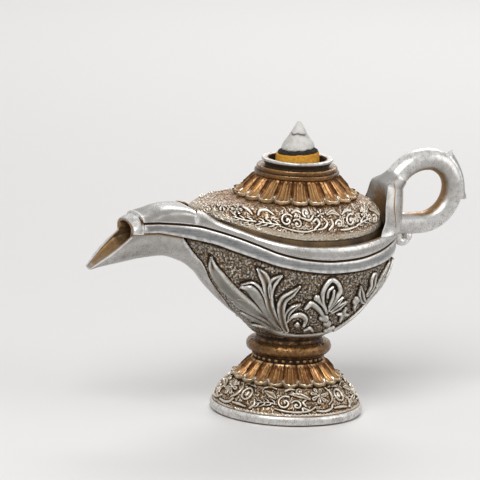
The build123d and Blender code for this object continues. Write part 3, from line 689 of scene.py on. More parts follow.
def build_foot():
    pad_radius = ring_inner - 0.2
    pad = rounded([(axis_hole, 0), (pad_radius, 0), (pad_radius, pad_thickness), (axis_hole, pad_thickness)],
                  [0, 0.25, 0, 0])
    points = lathe(pad, 120, 0.03, 1.2)
    points[..., 2] = maximum(points[..., 2], 0)
    Piece().grid(points, True, True).build("foot_felt", "lamp", "felt", felt, "foot_pad")

    outer = foot_radius - 0.1
    ring = rounded([(ring_inner, ring_low), (outer, ring_low), (outer, ring_top), (ring_inner, ring_top)],
                   [0, 1.5, 1.4, 0], 9, 0.6)
    points = lathe(ring, 300, 0.07, 6.0)
    # darker next to the dome
    dark_by_dome = 0.55 * ease(dome_edge + 0.7, dome_edge, hypot(points[..., 0], points[..., 1]))
    piece = Piece().grid(points, True, True, soil=dark_by_dome)
    piece.build("foot_ring", "lamp", "silver", silver, "foot_base_ring")

    around, pearls, pearl_height = 1500, 120, 0.30
    turn, share = full_turn(around), linspace(0, 1, 64)[None]
    slope_run = hypot(dome_edge - shoulder_radius, shoulder_z - ring_top)
    bulge = 0.75 * sin(pi * share)
    r = dome_edge + (shoulder_radius - dome_edge) * share + 0.78 * bulge
    z = ring_top + (shoulder_z - ring_top) * share + 0.63 * bulge
    points = circles(r, z, turn)
    relief = Relief(*foot_ornament_plane(turn, share, slope_run), 0.70)
    filler(relief, 150, 0.9, slope_run - 0.6, 0.20, 17)
    foot_ornament(relief)
    flat = clip(1 - relief.height / 0.25, 0, 1)
    lift = relief.height + flat * (0.10 * noise(points, 0.9, 5) - 0.05)
    edge = clip(1 - abs(share * slope_run - 0.55) / 0.4, 0, 1)
    lift = maximum(lift, pearl_height * edge * (0.5 + 0.5 * cos(turn * pearls)))
    points = pushed(points, clip(lift, -0.2, 0.75))
    # painted shade at the top, under the petal collar, and darker at the bottom next to the ring
    soil = 0.35 * ease(0.80, 1.0, share) + 0.25 * ease(0.05, 0.0, share) + 0 * turn
    hidden = [(shoulder_radius, shoulder_z), (column_radius, shoulder_z), (column_radius, bowl_seat),
              (axis_hole, bowl_seat), (axis_hole, pad_thickness), (ring_inner, pad_thickness),
              (ring_inner, ring_top), (dome_edge, ring_top)]
    piece = Piece().grid(points, True, soil=soil, ground=flat)
    piece.grid(lathe(hidden, around), True, soil=0.8)
    piece.build("foot_dome", "lamp", "pewter", foot_paint, "foot_body")


def foot_ornament_plane(turn, share, slope_run):
    """Flat coordinates on the dome in millimetres: round it from a flower, in four equal parts, and up it."""
    first_flower, part, before, mean_radius = radians(-82), pi / 2, 0.62, 21.3
    around = np.mod(turn - first_flower + before * part, part) - before * part
    return around * mean_radius + 0 * share, share * slope_run + 0 * turn


def foot_ornament(relief):
    """One part of the scrollwork: a flower, paired volutes, a leaf, a sprig and curls, on a winding stem."""
    stem, leaf, volute, flower, sprig = relief.stem, relief.leaf, relief.volute, relief.flower, relief.sprig
    flower(0, 6.7, 3.0, 7)
    volute(-11.7, 4.3, 2.5, 60, 1.15, 0.38, 1)
    volute(-8.0, 3.6, 1.7, 150, 1.05, 0.36, -1)
    stem(1, (0.3, 0.46, 0.34), (-14.6, 2.2), (-11.4, 1.5), (-7.8, 1.3), (-4.4, 1.7), (-2.2, 2.9))
    leaf(1, (0.35, 1.1, 0.3), (-3.6, 5.6), (-6.4, 7.0), (-10.0, 7.4))
    stem(1, (0.4, 0.55, 0.3), (-5.2, 3.2), (-5.9, 4.6), (-4.9, 5.4))
    stem(1, (0.4, 0.5, 0.35), (-4.4, 1.9), (-6.1, 2.6), (-6.2, 1.6))
    volute(-6.6, 8.7, 1.3, 250, 1.0, 0.42, -1)
    stem(1, (0.35, 0.6, 0.3), (-11.8, 8.6), (-10.2, 9.5), (-8.4, 9.3))
    stem(1, (0.35, 0.55, 0.35), (-1.8, 1.6), (0.6, 1.3), (3.0, 1.9), (4.0, 3.2))
    stem(1, (0.3, 0.42, 0.25), (2.8, 3.4), (4.7, 5.0), (5.3, 7.4), (4.2, 9.4))
    stem(1, (0.38,), (7.2, 4.4), (6.7, 5.9), (7.4, 7.5), (8.9, 8.0), (10.1, 6.8), (10.0, 5.0), (8.8, 3.9),
         (7.3, 4.3))
    stem(1, (0.7,), (8.4, 5.6), (8.6, 6.4))
    stem(1, (0.35, 0.55, 0.3), (4.6, 2.0), (7.0, 2.0), (9.6, 1.6))
    leaf(1, (0.3, 0.6, 0.3), (5.9, 9.4), (8.4, 9.6), (10.4, 8.9))
    leaf(0.9, (0.4, 1.3, 0.4), (-14.8, 5.6), (-16.4, 6.9), (-18.8, 7.8))
    sprig([(-14.2, 3.6), (-17.2, 4.0), (-20.6, 3.2)], 6, 1.8, 0.32)
    stem(1, (0.3, 0.5, 0.3), (-15.0, 9.2), (-17.4, 9.8), (-19.6, 9.2))
    stem(1, (0.4, 0.55, 0.3), (11.2, 1.4), (12.4, 2.8), (11.9, 4.4))


def petal_collar(name, body, seat, height, tip_radius, top_radius, bore, *nodes):
    """A dished collar of fluted petals with raised rims and rounded tips, with dark gaps between them."""
    petals, around, up, tip_height = 20, 1800, 72, 0.9
    turn, share = full_turn(around), linspace(0, 1, up)[None]
    local = np.mod(turn * petals / (2 * pi) + 0.5, 1) * 2 - 1
    half_width = tip_radius * sin(pi / petals)
    tip = tip_radius - 1.05 * half_width * (1 - sqrt(clip(1 - local ** 2, 0, 1)))
    r = top_radius + (tip - top_radius) * share
    fall = (r - top_radius) / (tip_radius - top_radius)
    points = circles(r, seat + tip_height + (height - tip_height) * (1 - fall) ** 1.55, turn)
    to_side = (1 - abs(local)) * r * sin(pi / petals)
    to_tip = tip - r
    to_edge = minimum(to_side, to_tip)
    fade = ease(0.02, 0.16, share)
    rim = exp(-((to_edge - 0.52) / 0.26) ** 2)
    flutes = cos(local * 3.4 * pi) * ease(0.80, 0.60, abs(local)) * ease(0.7, 1.6, to_tip)
    gap = ease(0.34, 0.0, to_side) * ease(-0.1, 0.3, share)
    lift = (0.42 * rim + 0.24 * flutes) * fade - 0.95 * gap * ease(0.2, 1.6, to_tip)
    points = pushed(points, lift + 0.07 * noise(points, 0.9, 11) * fade)
    points[..., 2] += 0.45 * ease(0.75, 1.0, fall)
    limit = tip_radius / maximum(hypot(points[..., 0], points[..., 1]), tip_radius)
    points[..., :2] *= limit[..., None]
    points[..., 2] = clip(points[..., 2], seat + 0.02, seat + height)
    edge = points[:, -1]
    below = stack([edge[:, 0] * 0.965, edge[:, 1] * 0.965, np.full(around, seat)], -1)
    bottom = circles(bore, seat, turn)[:, 0]
    crown = bottom + array([0, 0, height])
    soil = 0.95 * gap * ease(0.0, 0.8, to_tip) + 0.38 * ease(0.30, 0.0, share)
    soil = soil - 0.30 * rim * ease(0.3, 0.7, share) + 0.16 * clip(-flutes, 0, 1) * fade
    pale = maximum(rim * ease(0.55, 0.9, share), ease(1.15, 0.75, to_tip))
    piece = Piece().grid(points, True, soil=soil, ground=clip(pale, 0, 1))
    # the underside, below the overhanging tips, is painted dark as shade
    piece.grid(stack([edge, below, bottom, crown, points[:, 0]], 1), True,
               soil=array([[0.0, 0.55, 0.9, 0.9, 0.38]]))
    return piece.build(name, body, "bronze", bronze, *nodes)


def build_foot_rings():
    petal_collar("foot_petals", "lamp", shoulder_z, 6.6, 18.7, 11.9, column_radius, "foot_petal_collar")
    core = rounded([(column_radius, bead_low), (bead_row_radius, bead_low), (bead_row_radius, bead_high),
                    (column_radius, bead_high)], 0.1)
    piece = Piece().grid(lathe(core, 180), True, True, soil=0.75)
    beads, bead_radius, ball = 30, 0.72, sphere(12, 9)
    for k in range(beads):
        turn = 2 * pi * k / beads
        size = bead_radius * (1 + 0.06 * sin(5 * k))
        middle = array([bead_row_radius * cos(turn), bead_row_radius * sin(turn), (bead_low + bead_high) / 2])
        piece.grid(ball * size + middle, True)
    piece.build("foot_beads", "lamp", "dark_bronze", dark_bronze, "foot_bead_ring")

    fillet = [(12.0, bead_high), (12.2, 19.8), (12.2, 20.0), (12.05, 20.2)]
    outer = [(torus_middle + torus_radius * cos(t), torus_z + torus_radius * sin(t))
             for t in linspace(-pi / 2, pi / 2, 30)]
    profile = [(column_radius, bead_high)] + fillet + outer + [(column_radius, torus_top)]
    points = lathe(profile, 360, 0.11, 1.5)
    points[:, 0] = lathe(profile, 360)[:, 0]
    points[..., 2] = clip(points[..., 2], bead_high, torus_top)
    # painted shade on the lower part, in the crease under the torus
    piece = Piece().grid(points, True, True, soil=0.1 + 0.5 * ease(21.0, 20.0, points[..., 2]))
    piece.build("foot_torus", "lamp", "dark_bronze", dark_bronze, "foot_torus_ring")

    neck_high, neck_hollow = bowl_seat - torus_top, 0.5
    waist = [(column_radius, torus_top)]
    waist += [(neck_radius - neck_hollow * sin(pi * t), torus_top + neck_high * t)
              for t in linspace(0, 1, 10)]
    waist += [(column_radius, bowl_seat)]
    piece = Piece().grid(lathe(waist, 240, 0.06, 1.4), True, True, soil=0.45)
    piece.build("neck", "lamp", "dark_bronze", dark_bronze, "neck_collar")


# Bowl

def keel_bottom(x):
    return keel_low + keel_height(-x / spout_reach) * (keel_high - keel_low)


keel_height = smooth_table(keel_x_shares, keel_height_shares)
keel_width = smooth_table(keel_x_shares, keel_width_shares)
keel_round = smooth_table(keel_x_shares, keel_depth_shares)
channel_fall = smooth_table(channel_x_shares, channel_drop_shares)
channel_width = smooth_table(channel_x_shares, channel_width_shares)
keel_border = smooth_table((27.3, 31.5, 39.1, 45.8, 52.6, 55.8, 60.2),
                           (-13.0, -17.9, -25.3, -30.5, -34.6, -37.6, -41.1))


def channel_floor(x):
    return channel_height - channel_fall(-x / spout_reach) * channel_drop


def bowl_ornament(relief):
    """Leaves that fan out over one side of the bowl, a palmette, and small scrolls between them."""
    stem, leaf = relief.stem, relief.leaf
    stem(0.7, (0.5, 0.9, 0.7, 0.7, 0.8, 0.5), (-15.5, 31.3), (-13.0, 30.7), (-8.8, 29.1), (-3.9, 28.6),
         (2.5, 28.6), (8.9, 29.8))
    stem(0.8, (0.3, 0.5, 0.3), (-24.8, 41.4), (-22.0, 41.0), (-19.0, 38.8))
    stem(1, (0.6, 1.1, 0.8, 0.7, 0.5), (-24.2, 40.4), (-21.2, 38.1), (-17.6, 36.0), (-14.6, 34.4),
         (-10.3, 31.7))
    stem(1, (0.4, 0.9, 0.6, 0.4), (-20.6, 36.2), (-16.9, 34.2), (-14.0, 32.8), (-10.4, 31.0))
    leaf(1, (0.3, 1.1, 1.5, 1.8, 1.8, 1.6, 1.3, 0.8), (-32.6, 54.8), (-31.6, 51.5), (-29.8, 48.6),
         (-27.3, 45.2), (-23.9, 42.0), (-19.6, 38.6), (-15.2, 35.4), (-9.6, 31.2))
    stem(1, (0.35, 0.5, 0.5, 0.3), (-23.8, 46.6), (-21.0, 47.5), (-18.6, 45.6), (-16.9, 42.4))
    stem(1.15, (0.6, 1.35, 1.5, 1.2, 0.9, 0.6), (-23.6, 45.8), (-21.6, 45.4), (-19.7, 43.4), (-17.1, 40.0),
         (-14.4, 36.2), (-10.2, 31.6))
    leaf(1, (0.4, 1.5, 1.6, 1.5, 1.3, 1.1, 0.8), (-19.8, 52.2), (-18.3, 50.2), (-17.1, 47.7), (-16.3, 44.1),
         (-15.0, 39.9), (-12.3, 35.3), (-8.8, 31.0))
    leaf(1, (0.5, 1.45, 1.2, 0.6), (-12.9, 50.4), (-15.0, 48.4), (-15.7, 46.1), (-15.4, 43.1))
    leaf(1, (0.3, 1.3, 1.6, 1.5, 1.3, 1.0, 0.7), (-7.0, 47.2), (-9.5, 44.4), (-11.3, 42.7), (-11.8, 40.5),
         (-11.1, 37.3), (-9.0, 32.9), (-7.4, 30.8))
    leaf(1, (0.3, 1.1, 1.1, 0.6), (-6.2, 41.0), (-8.3, 39.4), (-9.3, 37.4), (-9.0, 35.0))
    stem(1, (0.5, 0.8, 1.0, 0.9, 0.5), (-8.6, 34.6), (-7.6, 36.4), (-5.2, 36.9), (-3.2, 35.4), (-3.1, 33.0))
    stem(1.1, (0.9,), (-5.4, 33.4), (-5.3, 33.3))
    stem(0.8, (0.4, 0.6, 0.4), (-2.2, 31.2), (-0.8, 31.9), (0.6, 31.0))
    stem(1, (0.8, 0.8, 0.85, 0.9, 0.9, 0.85, 0.9, 0.9, 0.8), (3.4, 37.8), (1.2, 41.6), (0.8, 45.1),
         (1.9, 47.8), (3.7, 49.0), (5.9, 47.4), (7.0, 45.0), (5.8, 42.6), (3.9, 38.6))
    stem(0.9, (0.5, 0.6, 0.5), (2.6, 43.0), (2.6, 45.2), (4.0, 46.6))
    stem(0.9, (0.5, 0.7, 0.5), (4.6, 45.4), (4.6, 42.6), (3.8, 39.6))
    stem(1, (1.2, 1.0, 0.6, 0.5), (-1.0, 43.0), (-0.2, 42.2), (1.4, 40.5), (2.9, 38.4))
    stem(1, (0.6, 1.1, 1.0, 0.9, 0.7), (-4.2, 39.4), (-2.7, 40.9), (-0.7, 39.9), (1.4, 38.0), (2.6, 36.4))
    leaf(1, (0.3, 1.1, 0.7), (8.3, 42.9), (6.4, 40.6), (4.6, 38.6))
    leaf(1, (0.3, 1.1, 0.7), (10.1, 41.2), (7.6, 39.3), (5.3, 37.9))
    stem(1.15, (1.35,), (2.6, 35.7), (3.7, 35.3))
    stem(1.15, (1.3,), (4.7, 33.5), (5.3, 33.2))
    stem(1, (0.5, 1.0, 0.5), (5.4, 30.4), (6.8, 30.7), (8.2, 31.6))
    for k in range(4):
        turn = radians(80 + 90 * k)
        stem(0.9, (1.1, 0.35), (10.3, 36.2), (10.3 + 2.5 * cos(turn), 36.2 + 2.5 * sin(turn)))
    stem(1.15, (1.5,), (14.6, 41.0), (14.4, 40.6))
    stem(1, (0.6, 0.6, 0.4), (14.8, 40.4), (14.4, 38.4), (15.0, 37.0))
    leaf(1, (0.3, 1.4, 1.3, 0.7), (14.8, 46.0), (15.8, 43.0), (17.4, 40.6), (19.4, 39.2))
    leaf(1, (1.0, 1.5, 1.2, 0.7), (20.6, 49.0), (20.2, 47.2), (20.4, 45.0), (18.8, 42.2))
    leaf(1, (0.5, 1.1, 0.5), (19.6, 38.8), (23.0, 42.4), (25.4, 46.8))
    leaf(1, (0.5, 0.6, 0.6, 0.9, 1.3, 0.8), (9.4, 30.2), (14.2, 33.2), (19.8, 36.8), (25.2, 41.4),
         (29.0, 46.4), (31.2, 51.4))
    leaf(0.9, (0.4, 0.9, 0.4), (22.6, 44.6), (25.2, 48.0), (27.6, 52.0))


def build_bowl():
    turn, share = full_turn(900), linspace(0, 1, 150)[None]
    outline_level, nose_half_width, nose_start = 56.0, 5.0, 30.0
    outline = bowl.points(turn, bowl.place(outline_level) + 0 * turn)
    x_here = outline[..., 0]
    nose = (abs(outline[..., 1]) < nose_half_width) & (x_here < -nose_start)
    top = where(nose, channel_floor(x_here) - 0.2, band_z(x_here) + 0.5)
    points = bowl.points(turn, share * bowl.place(top))
    relief = Relief(points[..., 0], points[..., 2], 1.05)
    bowl_ornament(relief)
    height = relief.height * ease(2.0, 6.0, abs(points[..., 1]))
    back = Relief(points[..., 1], points[..., 2])
    for way in (1, -1):
        back.leaf(1, (0.6, 1.3, 1.4, 0.5), (way, 33), (way * 3.2, 40), (way * 4.4, 46.5), (way * 2.6, 53))
        back.leaf(0.9, (0.5, 1.1, 0.5), (way * 2, 33.5), (way * 8, 39), (way * 10, 45.5))
    height = maximum(height, back.height * ease(18, 24, points[..., 0]))
    flat = clip(1 - height / 0.3, 0, 1)
    pebble = 0.16 * abs(noise(points, 0.75, 21)) + 0.10 * noise(points, 0.45, 22)
    points = pushed(points, height + flat * (pebble - 0.08))
    drop = band_z(points[..., 0]) - points[..., 2]
    # painted shadow under the band, and darker towards the bottom next to the neck
    dark = 0.85 * ease(1.5, 0.3, drop) + 0.45 * ease(29.2, 27.2, points[..., 2])
    sideways = maximum(abs(surface_normals(points, True)[..., 1]), 0.25)
    from_keel = (points[..., 0] - keel_border(points[..., 2])) / sideways
    dark = maximum(dark, 0.8 * ease(0.9, 0.1, abs(from_keel)) * (points[..., 0] < -12))
    piece = Piece().grid(points, True, soil=dark, ground=flat * ease(0.6, 1.6, drop))
    piece.cap(points[:, 0][::-1])
    piece.build("bowl_outside", "lamp", "pewter", pewter, "bowl_shell", "leaf_relief_near", "leaf_relief_far")

    inner_place = linspace(1, 0, 40)[None] * bowl.place(minimum(top, highest_level) - bowl_floor)
    inner = bowl.points(turn, inner_place, -bowl_wall) + array([0, 0, bowl_floor])
    skin = Piece().grid(concatenate([points[:, -1:], inner], 1), True, soil=0.9).cap(inner[:, -1])
    skin.build("bowl_inside", "lamp", "pewter", inside)


def gutter(half_width, flat, turn, end, steps, wall_steps):
    """A loop at each x: down one side, round the bottom and up the other, as y and z."""
    a = linspace(0, pi, steps)[None]
    walls = linspace(0, 1, wall_steps)[None, :-1]
    bottom = stack([half_width * cos(a), turn + (end - turn) * sin(a)], -1)
    near = stack([half_width + 0 * walls, flat + (turn - flat) * walls], -1)
    far = stack([-half_width + 0 * walls, turn + (flat - turn) * (1 - walls[:, ::-1])], -1)
    return concatenate([near, bottom, far], 1)


def spout_edge(x):
    """Height of the spout's edge: under the band as far as the hood, then down to the tip."""
    fall = trough_height + (spout_tip_height - trough_height) * (-x - hood_front) / (spout_reach - hood_front)
    return where(x > -hood_front, band_z(x), fall)


def along_x(x, yz):
    x = np.broadcast_to(x, yz.shape[:2])
    return stack([x, yz[..., 0], yz[..., 1]], -1)


def build_keel():
    """The spout's smooth skin: a trough at its tip, a keel under the bowl, and cheeks up to the ornament."""
    x = -concatenate([linspace(13.2, 58.4, 300), linspace(58.6, 70.95, 70)])[:, None]
    share, steps = -x / spout_reach, (60, 90)
    width = maximum(spout_half_width * keel_width(share), 0.8)
    bottom = keel_bottom(x)
    edge = spout_edge(x) - 0.05
    deep = minimum(keel_depth * keel_round(share), 0.92 * (edge - bottom))
    outer = along_x(x, gutter(width, edge, bottom + deep, bottom, *steps))
    hidden = bowl.half_width(outer[..., 0], minimum(outer[..., 2], highest_level)) * (x > -bowl_left)
    in_bowl = hidden > 0.5
    reach = abs(outer[..., 1])
    cheek = where(in_bowl, maximum(reach, hidden + 0.42), reach)
    sunk = where(in_bowl, hidden - 0.9, reach)
    from_border = outer[..., 0] - keel_border(outer[..., 2])
    outer[..., 1] = np.sign(outer[..., 1]) * (sunk + ease(0.15, -0.15, from_border) * (cheek - sunk))
    outer = pushed(outer, 0.05 * noise(outer, 3.0, 31), False)
    # painted shadow under the band
    under_band = ease(1.2, 0.1, band_z(x) - outer[..., 2]) * (x > -hood_front)
    sideways = maximum(abs(surface_normals(outer, False)[..., 1]), 0.3)
    line = exp(-(from_border / (0.34 * sideways)) ** 2) * in_bowl
    outer_soil = maximum(0.8 * under_band, 0.95 * line)
    # darker towards the bottom
    outer_soil = maximum(outer_soil, 0.30 * ease(33, 29, outer[..., 2]))

    half = minimum((spout_half_width - band_wall) * channel_width(share), width - 0.5)
    floor = minimum(channel_floor(x), edge - 0.15)
    inner = along_x(x, gutter(maximum(half, 0.25), edge, minimum(floor + 2.4, edge - 0.05), floor, *steps))
    closed = x > -trough_start
    inner[..., 1] = where(closed, outer[..., 1] * 0.97, inner[..., 1])
    inner[..., 2] = where(closed, outer[..., 2] + 0.2, inner[..., 2])
    # darker inside the channel, and more so under the hood as painted shade
    inner_soil = 0.34 + 0.30 * ease(-68, -58, x) + 0 * inner[..., 1]
    piece = Piece().loops(concatenate([outer, inner[:, ::-1]], 1), concatenate([outer_soil, inner_soil], 1))
    piece.build("spout", "lamp", "silver", silver, "spout_keel")


# Rim

def rim_path(left_end):
    """Points round the outline from above, as far as left_end on the spout's side, and ways outward."""
    steps = 173
    left = linspace(hood_length - hood_front, 0, steps, endpoint=False)
    turn = linspace(pi / 2, -pi / 2, steps)
    y = flank(left, bowl_half_width, spout_half_width)
    path = concatenate([stack([left, y], -1),
                        stack([bowl_right * cos(turn), bowl_half_width * sin(turn)], -1),
                        stack([left[::-1], -y[::-1]], -1)])
    run = np.gradient(path, axis=0)
    run /= np.linalg.norm(run, axis=1, keepdims=True)
    keep = path[:, 0] > -left_end
    return path[keep], stack([-run[:, 1], run[:, 0]], -1)[keep]


def lip(outer, grooved):
    """Offsets and rises of a band's edge: a deep step beside the groove, or a plain rounded corner."""
    if grooved:
        return [(outer - 0.75, 0.0), (outer - 0.65, 0.20), (outer - 0.22, 0.34), (outer - 0.06, 0.52),
                (outer, 0.8)]
    return [(outer - 0.45, 0.0), (outer - 0.22, 0.06), (outer - 0.06, 0.24), (outer, 0.5)]


def rim_band(low, high, bulge, left_end, low_groove, high_groove):
    """Loops of a band that follows the outline, between two heights that change with x."""
    path, out = rim_path(left_end)
    z0, z1 = low(path[:, 0])[:, None], high(path[:, 0])[:, None]
    inner, outer = -band_wall, band_proud - 0.24
    section = [(inner, 0.0, 0.0)] + [(offset, 0.0, rise) for offset, rise in lip(outer, low_groove)]
    section += [(outer + bulge * sin(pi * f), f, 0.0) for f in linspace(0.24, 0.76, 13)]
    section += [(offset, 1.0, -rise) for offset, rise in lip(outer, high_groove)[::-1]]
    section += [((inner + outer) / 2, 1.0, 0.0), (inner + 0.4, 1.0, 0.0), (inner, 0.93, 0.0),
                (inner, 0.5, 0.0)]
    offset, share, rise = array(section).T[:, None]
    flat = path[:, None] + out[:, None] * offset[..., None]
    loops = concatenate([flat, (z0 + share * (z1 - z0) + rise)[..., None]], -1)
    loops[..., :2] += out[:, None] * (0.06 * noise(loops, 4.0, 41) * (offset > 0))[..., None]
    widest = bowl_half_width + band_proud - 0.01
    loops[..., 1] = clip(loops[..., 1], -widest, widest)
    from_low, from_high = loops[..., 2] - z0, z1 - loops[..., 2]
    soil = 0.95 * low_groove * ease(0.55, 0.2, from_low) + 0.95 * high_groove * ease(0.55, 0.2, from_high)
    soil = maximum(soil, 0.36 * (1 - high_groove) * (offset < 0.3) * ease(0.3, 0.0, from_high))
    return loops, where(offset < -1.6, 0.6, soil)


def build_bands():
    """The two bands of the rim, parted by a dark groove, the ledge inside and the roof over the spout."""
    hood_start = hood_front - hood_length
    loops, soil = rim_band(band_z, groove_z, 0.10, hood_start, 0, 1)
    brushed = ease(0.5, 1.0, groove_z(loops[..., 0]) - loops[..., 2])
    brushed = brushed * (loops[..., 2] > band_z(loops[..., 0]) - 1)
    piece = Piece().loops(loops, soil, brushed)
    piece.build("lower_band", "lamp", "grey_silver", band_silver, "rim_lower_band")

    piece = Piece().loops(*rim_band(groove_z, rim_z, 0.24, cover_start, 1, 0))
    path, out = rim_path(cover_start)
    near, far = 0.3 - band_wall, -band_wall - ledge_width
    high, low = -ledge_depth, -ledge_depth - ledge_thickness
    section = array([(near, high), (far, high), (far, low), (near, low)])
    ledge = path[:, None] + out[:, None] * section[None, :, :1]
    ledge_z = rim_z(path[:, :1]) + section[None, :, 1]
    # the ledge is painted dark as shade under the lid's edge
    piece.loops(concatenate([ledge, ledge_z[..., None]], -1), 0.8)

    x = -linspace(cover_start, hood_start, 70)[:, None]
    share = (-x - cover_start) / (hood_start - cover_start)
    top = cover_top - cover_fall * smooth_table(cover_x_shares, cover_fall_shares)(share)
    power = 2.15 + 3.0 * ease(0.9, 0.0, share)
    half = flank(x, bowl_half_width, spout_half_width) + band_proud - 0.15 + 0.2 * ease(0.3, 0.0, share)
    base = groove_z(x)
    a = linspace(0, pi, 140)[None]
    reach = (abs(cos(a)) ** power + abs(sin(a)) ** power) ** (-1 / power)
    outer = stack([x + 0 * a, half * cos(a) * reach, base + (top - base) * sin(a) * reach], -1)
    sunk = ease(0.5, 0.2, outer[..., 2] - base)
    outer[..., 1] -= np.sign(outer[..., 1]) * 0.8 * sunk
    outer = pushed(outer, 0.06 * noise(outer, 4.0, 41), False)
    thin = half - band_proud - band_wall
    inner = stack([x + 0 * a, thin * cos(a), base + (top - cover_wall - base) * sin(a) ** 0.8], -1)
    # the roof's inside is painted dark as shade
    piece.loops(concatenate([outer, inner[:, ::-1]], 1), concatenate([0.95 * sunk, 0.7 + 0 * sunk], 1))
    piece.build("upper_band", "lamp", "silver", silver, "rim_upper_band", "spout_cover")


def arch(half, low, turn, top):
    """Points up one side, over an arch and down the other, as y and z."""
    side = [(half, low + (turn - low) * w) for w in linspace(0, 1, 16, endpoint=False)]
    over = [(half * cos(t), turn + (top - turn) * sin(t)) for t in linspace(0, pi, 90)]
    return side + over + [(-y, z) for y, z in side[::-1]]


def build_hood():
    """The arch at the spout's mouth, parted from the roof by an incised line on its sides."""
    x = -array([55.4, 55.6, 55.8, 56.0, 56.3, 57.0, 57.6, 58.2, 58.6, 58.85, 58.97])
    shrink = array([0.15, 0.15, 0.15, 0.15, 0.15, 0.13, 0.13, 0.16, 0.25, 0.42, 0.7])
    crowns = hood_crown - 1.2 * ease(-56.4, -59.4, x) + 0.35 * ease(-56.4, -55.4, x)
    low = spout_edge(array([-57.0]))[0] - 0.3
    loops = []
    for place, less, crown in zip(x, shrink, crowns):
        top = crown - less
        outer = arch(spout_half_width + band_proud - less, low, hood_turn_height, top)
        inner = arch(hood_opening_half + 0.5 * less, low, hood_turn_height,
                     min(hood_opening_top + 0.4 * less, top - 0.5))
        loops.append([(place, y, z) for y, z in outer + inner[::-1]])
    loops = array(loops)
    skin = loops[:, :loops.shape[1] // 2]
    line = exp(-((skin[..., 0] + 55.75) / 0.22) ** 2)
    line = line * ease(67.5, 66.9, skin[..., 2]) * ease(65.0, 65.4, skin[..., 2])
    # the inside of the arch is painted dark as shade; the outside is darker at its front edge
    soil = concatenate([0.95 * line + 0.40 * ease(-58.7, -58.95, skin[..., 0]), 0.42 + 0 * line], 1)
    skin[..., 1] -= 0.45 * np.sign(skin[..., 1]) * line
    Piece().loops(loops, soil).build("hood", "lamp", "silver", silver, "spout_hood")


# Handle

loop_start, loop_top, loop_reach, arm_height, tube_radius = (36.0, 77.6), (46.5, 83.0), 56.0, 61.6, 3.6
leaf_reach = 61.4
shield_base, shield_half_width = (22.6, 58.0), 19.0
shield_x_shares = (0.0, 0.09, 0.32, 0.463, 0.56, 1.0)
shield_z_shares = (0.0, 0.204, 0.367, 0.612, 0.89, 1.0)
shield_tilt_shares = (0.0, 0.0, 0.0, 0.12, 0.45, 1.0)
shield_width_shares = (1.0, 0.89, 0.60, 0.32, 0.214, 0.0)
shield_back, shield_dish, shield_edge = 12.4, 9.4, 1.6
shield_back_shares = (1.0, 0.935, 0.742, 0.665, 0.602, 0.29)
shield_dish_shares = (1.0, 0.894, 0.574, 0.323, 0.034, -0.383)
shield_edge_shares = (1.0, 1.0, 1.0, 0.9, 0.6, 0.3)


def loop_line():
    """The middle of the loop: three arcs that run into each other and a straight arm to the rim."""
    across, up = loop_top[0] - loop_start[0], loop_top[1] - loop_start[1]
    first = (across ** 2 + up ** 2) / (2 * up)
    start = pi - atan2(first - up, across)
    second = loop_reach - loop_top[0]
    side_z = loop_top[1] - second
    third = side_z - arm_height
    points = [(loop_top[0] + first * cos(t), loop_top[1] - first + first * sin(t))
              for t in linspace(start, pi / 2, 22)]
    points += [(loop_top[0] + second * cos(t), side_z + second * sin(t))
               for t in linspace(pi / 2, 0, 26)[1:]]
    points += [(loop_reach - third + third * cos(t), side_z + third * sin(t))
               for t in linspace(0, -pi / 2, 30)[1:]]
    points += [(x, arm_height) for x in linspace(loop_reach - third, 33.6, 12)[1:]]
    return array(points)


def handle_seam(points):
    """How near points are to the incised line that parts the shield from the loop."""
    seam = smooth_table((57.6, 62.2, 69.1, 74.3, 79.5, 81.6), (24.2, 29.6, 31.7, 32.4, 31.9, 30.2))
    line = exp(-((points[..., 0] - seam(points[..., 2])) / 0.32) ** 2)
    return line * ease(1.6, 2.6, abs(points[..., 1]))


def wander(points, size, seed, depth):
    """Points moved a little each way, as a hand-finished casting is uneven."""
    return points + depth * stack([noise(points, size, seed + k) for k in range(3)], -1)


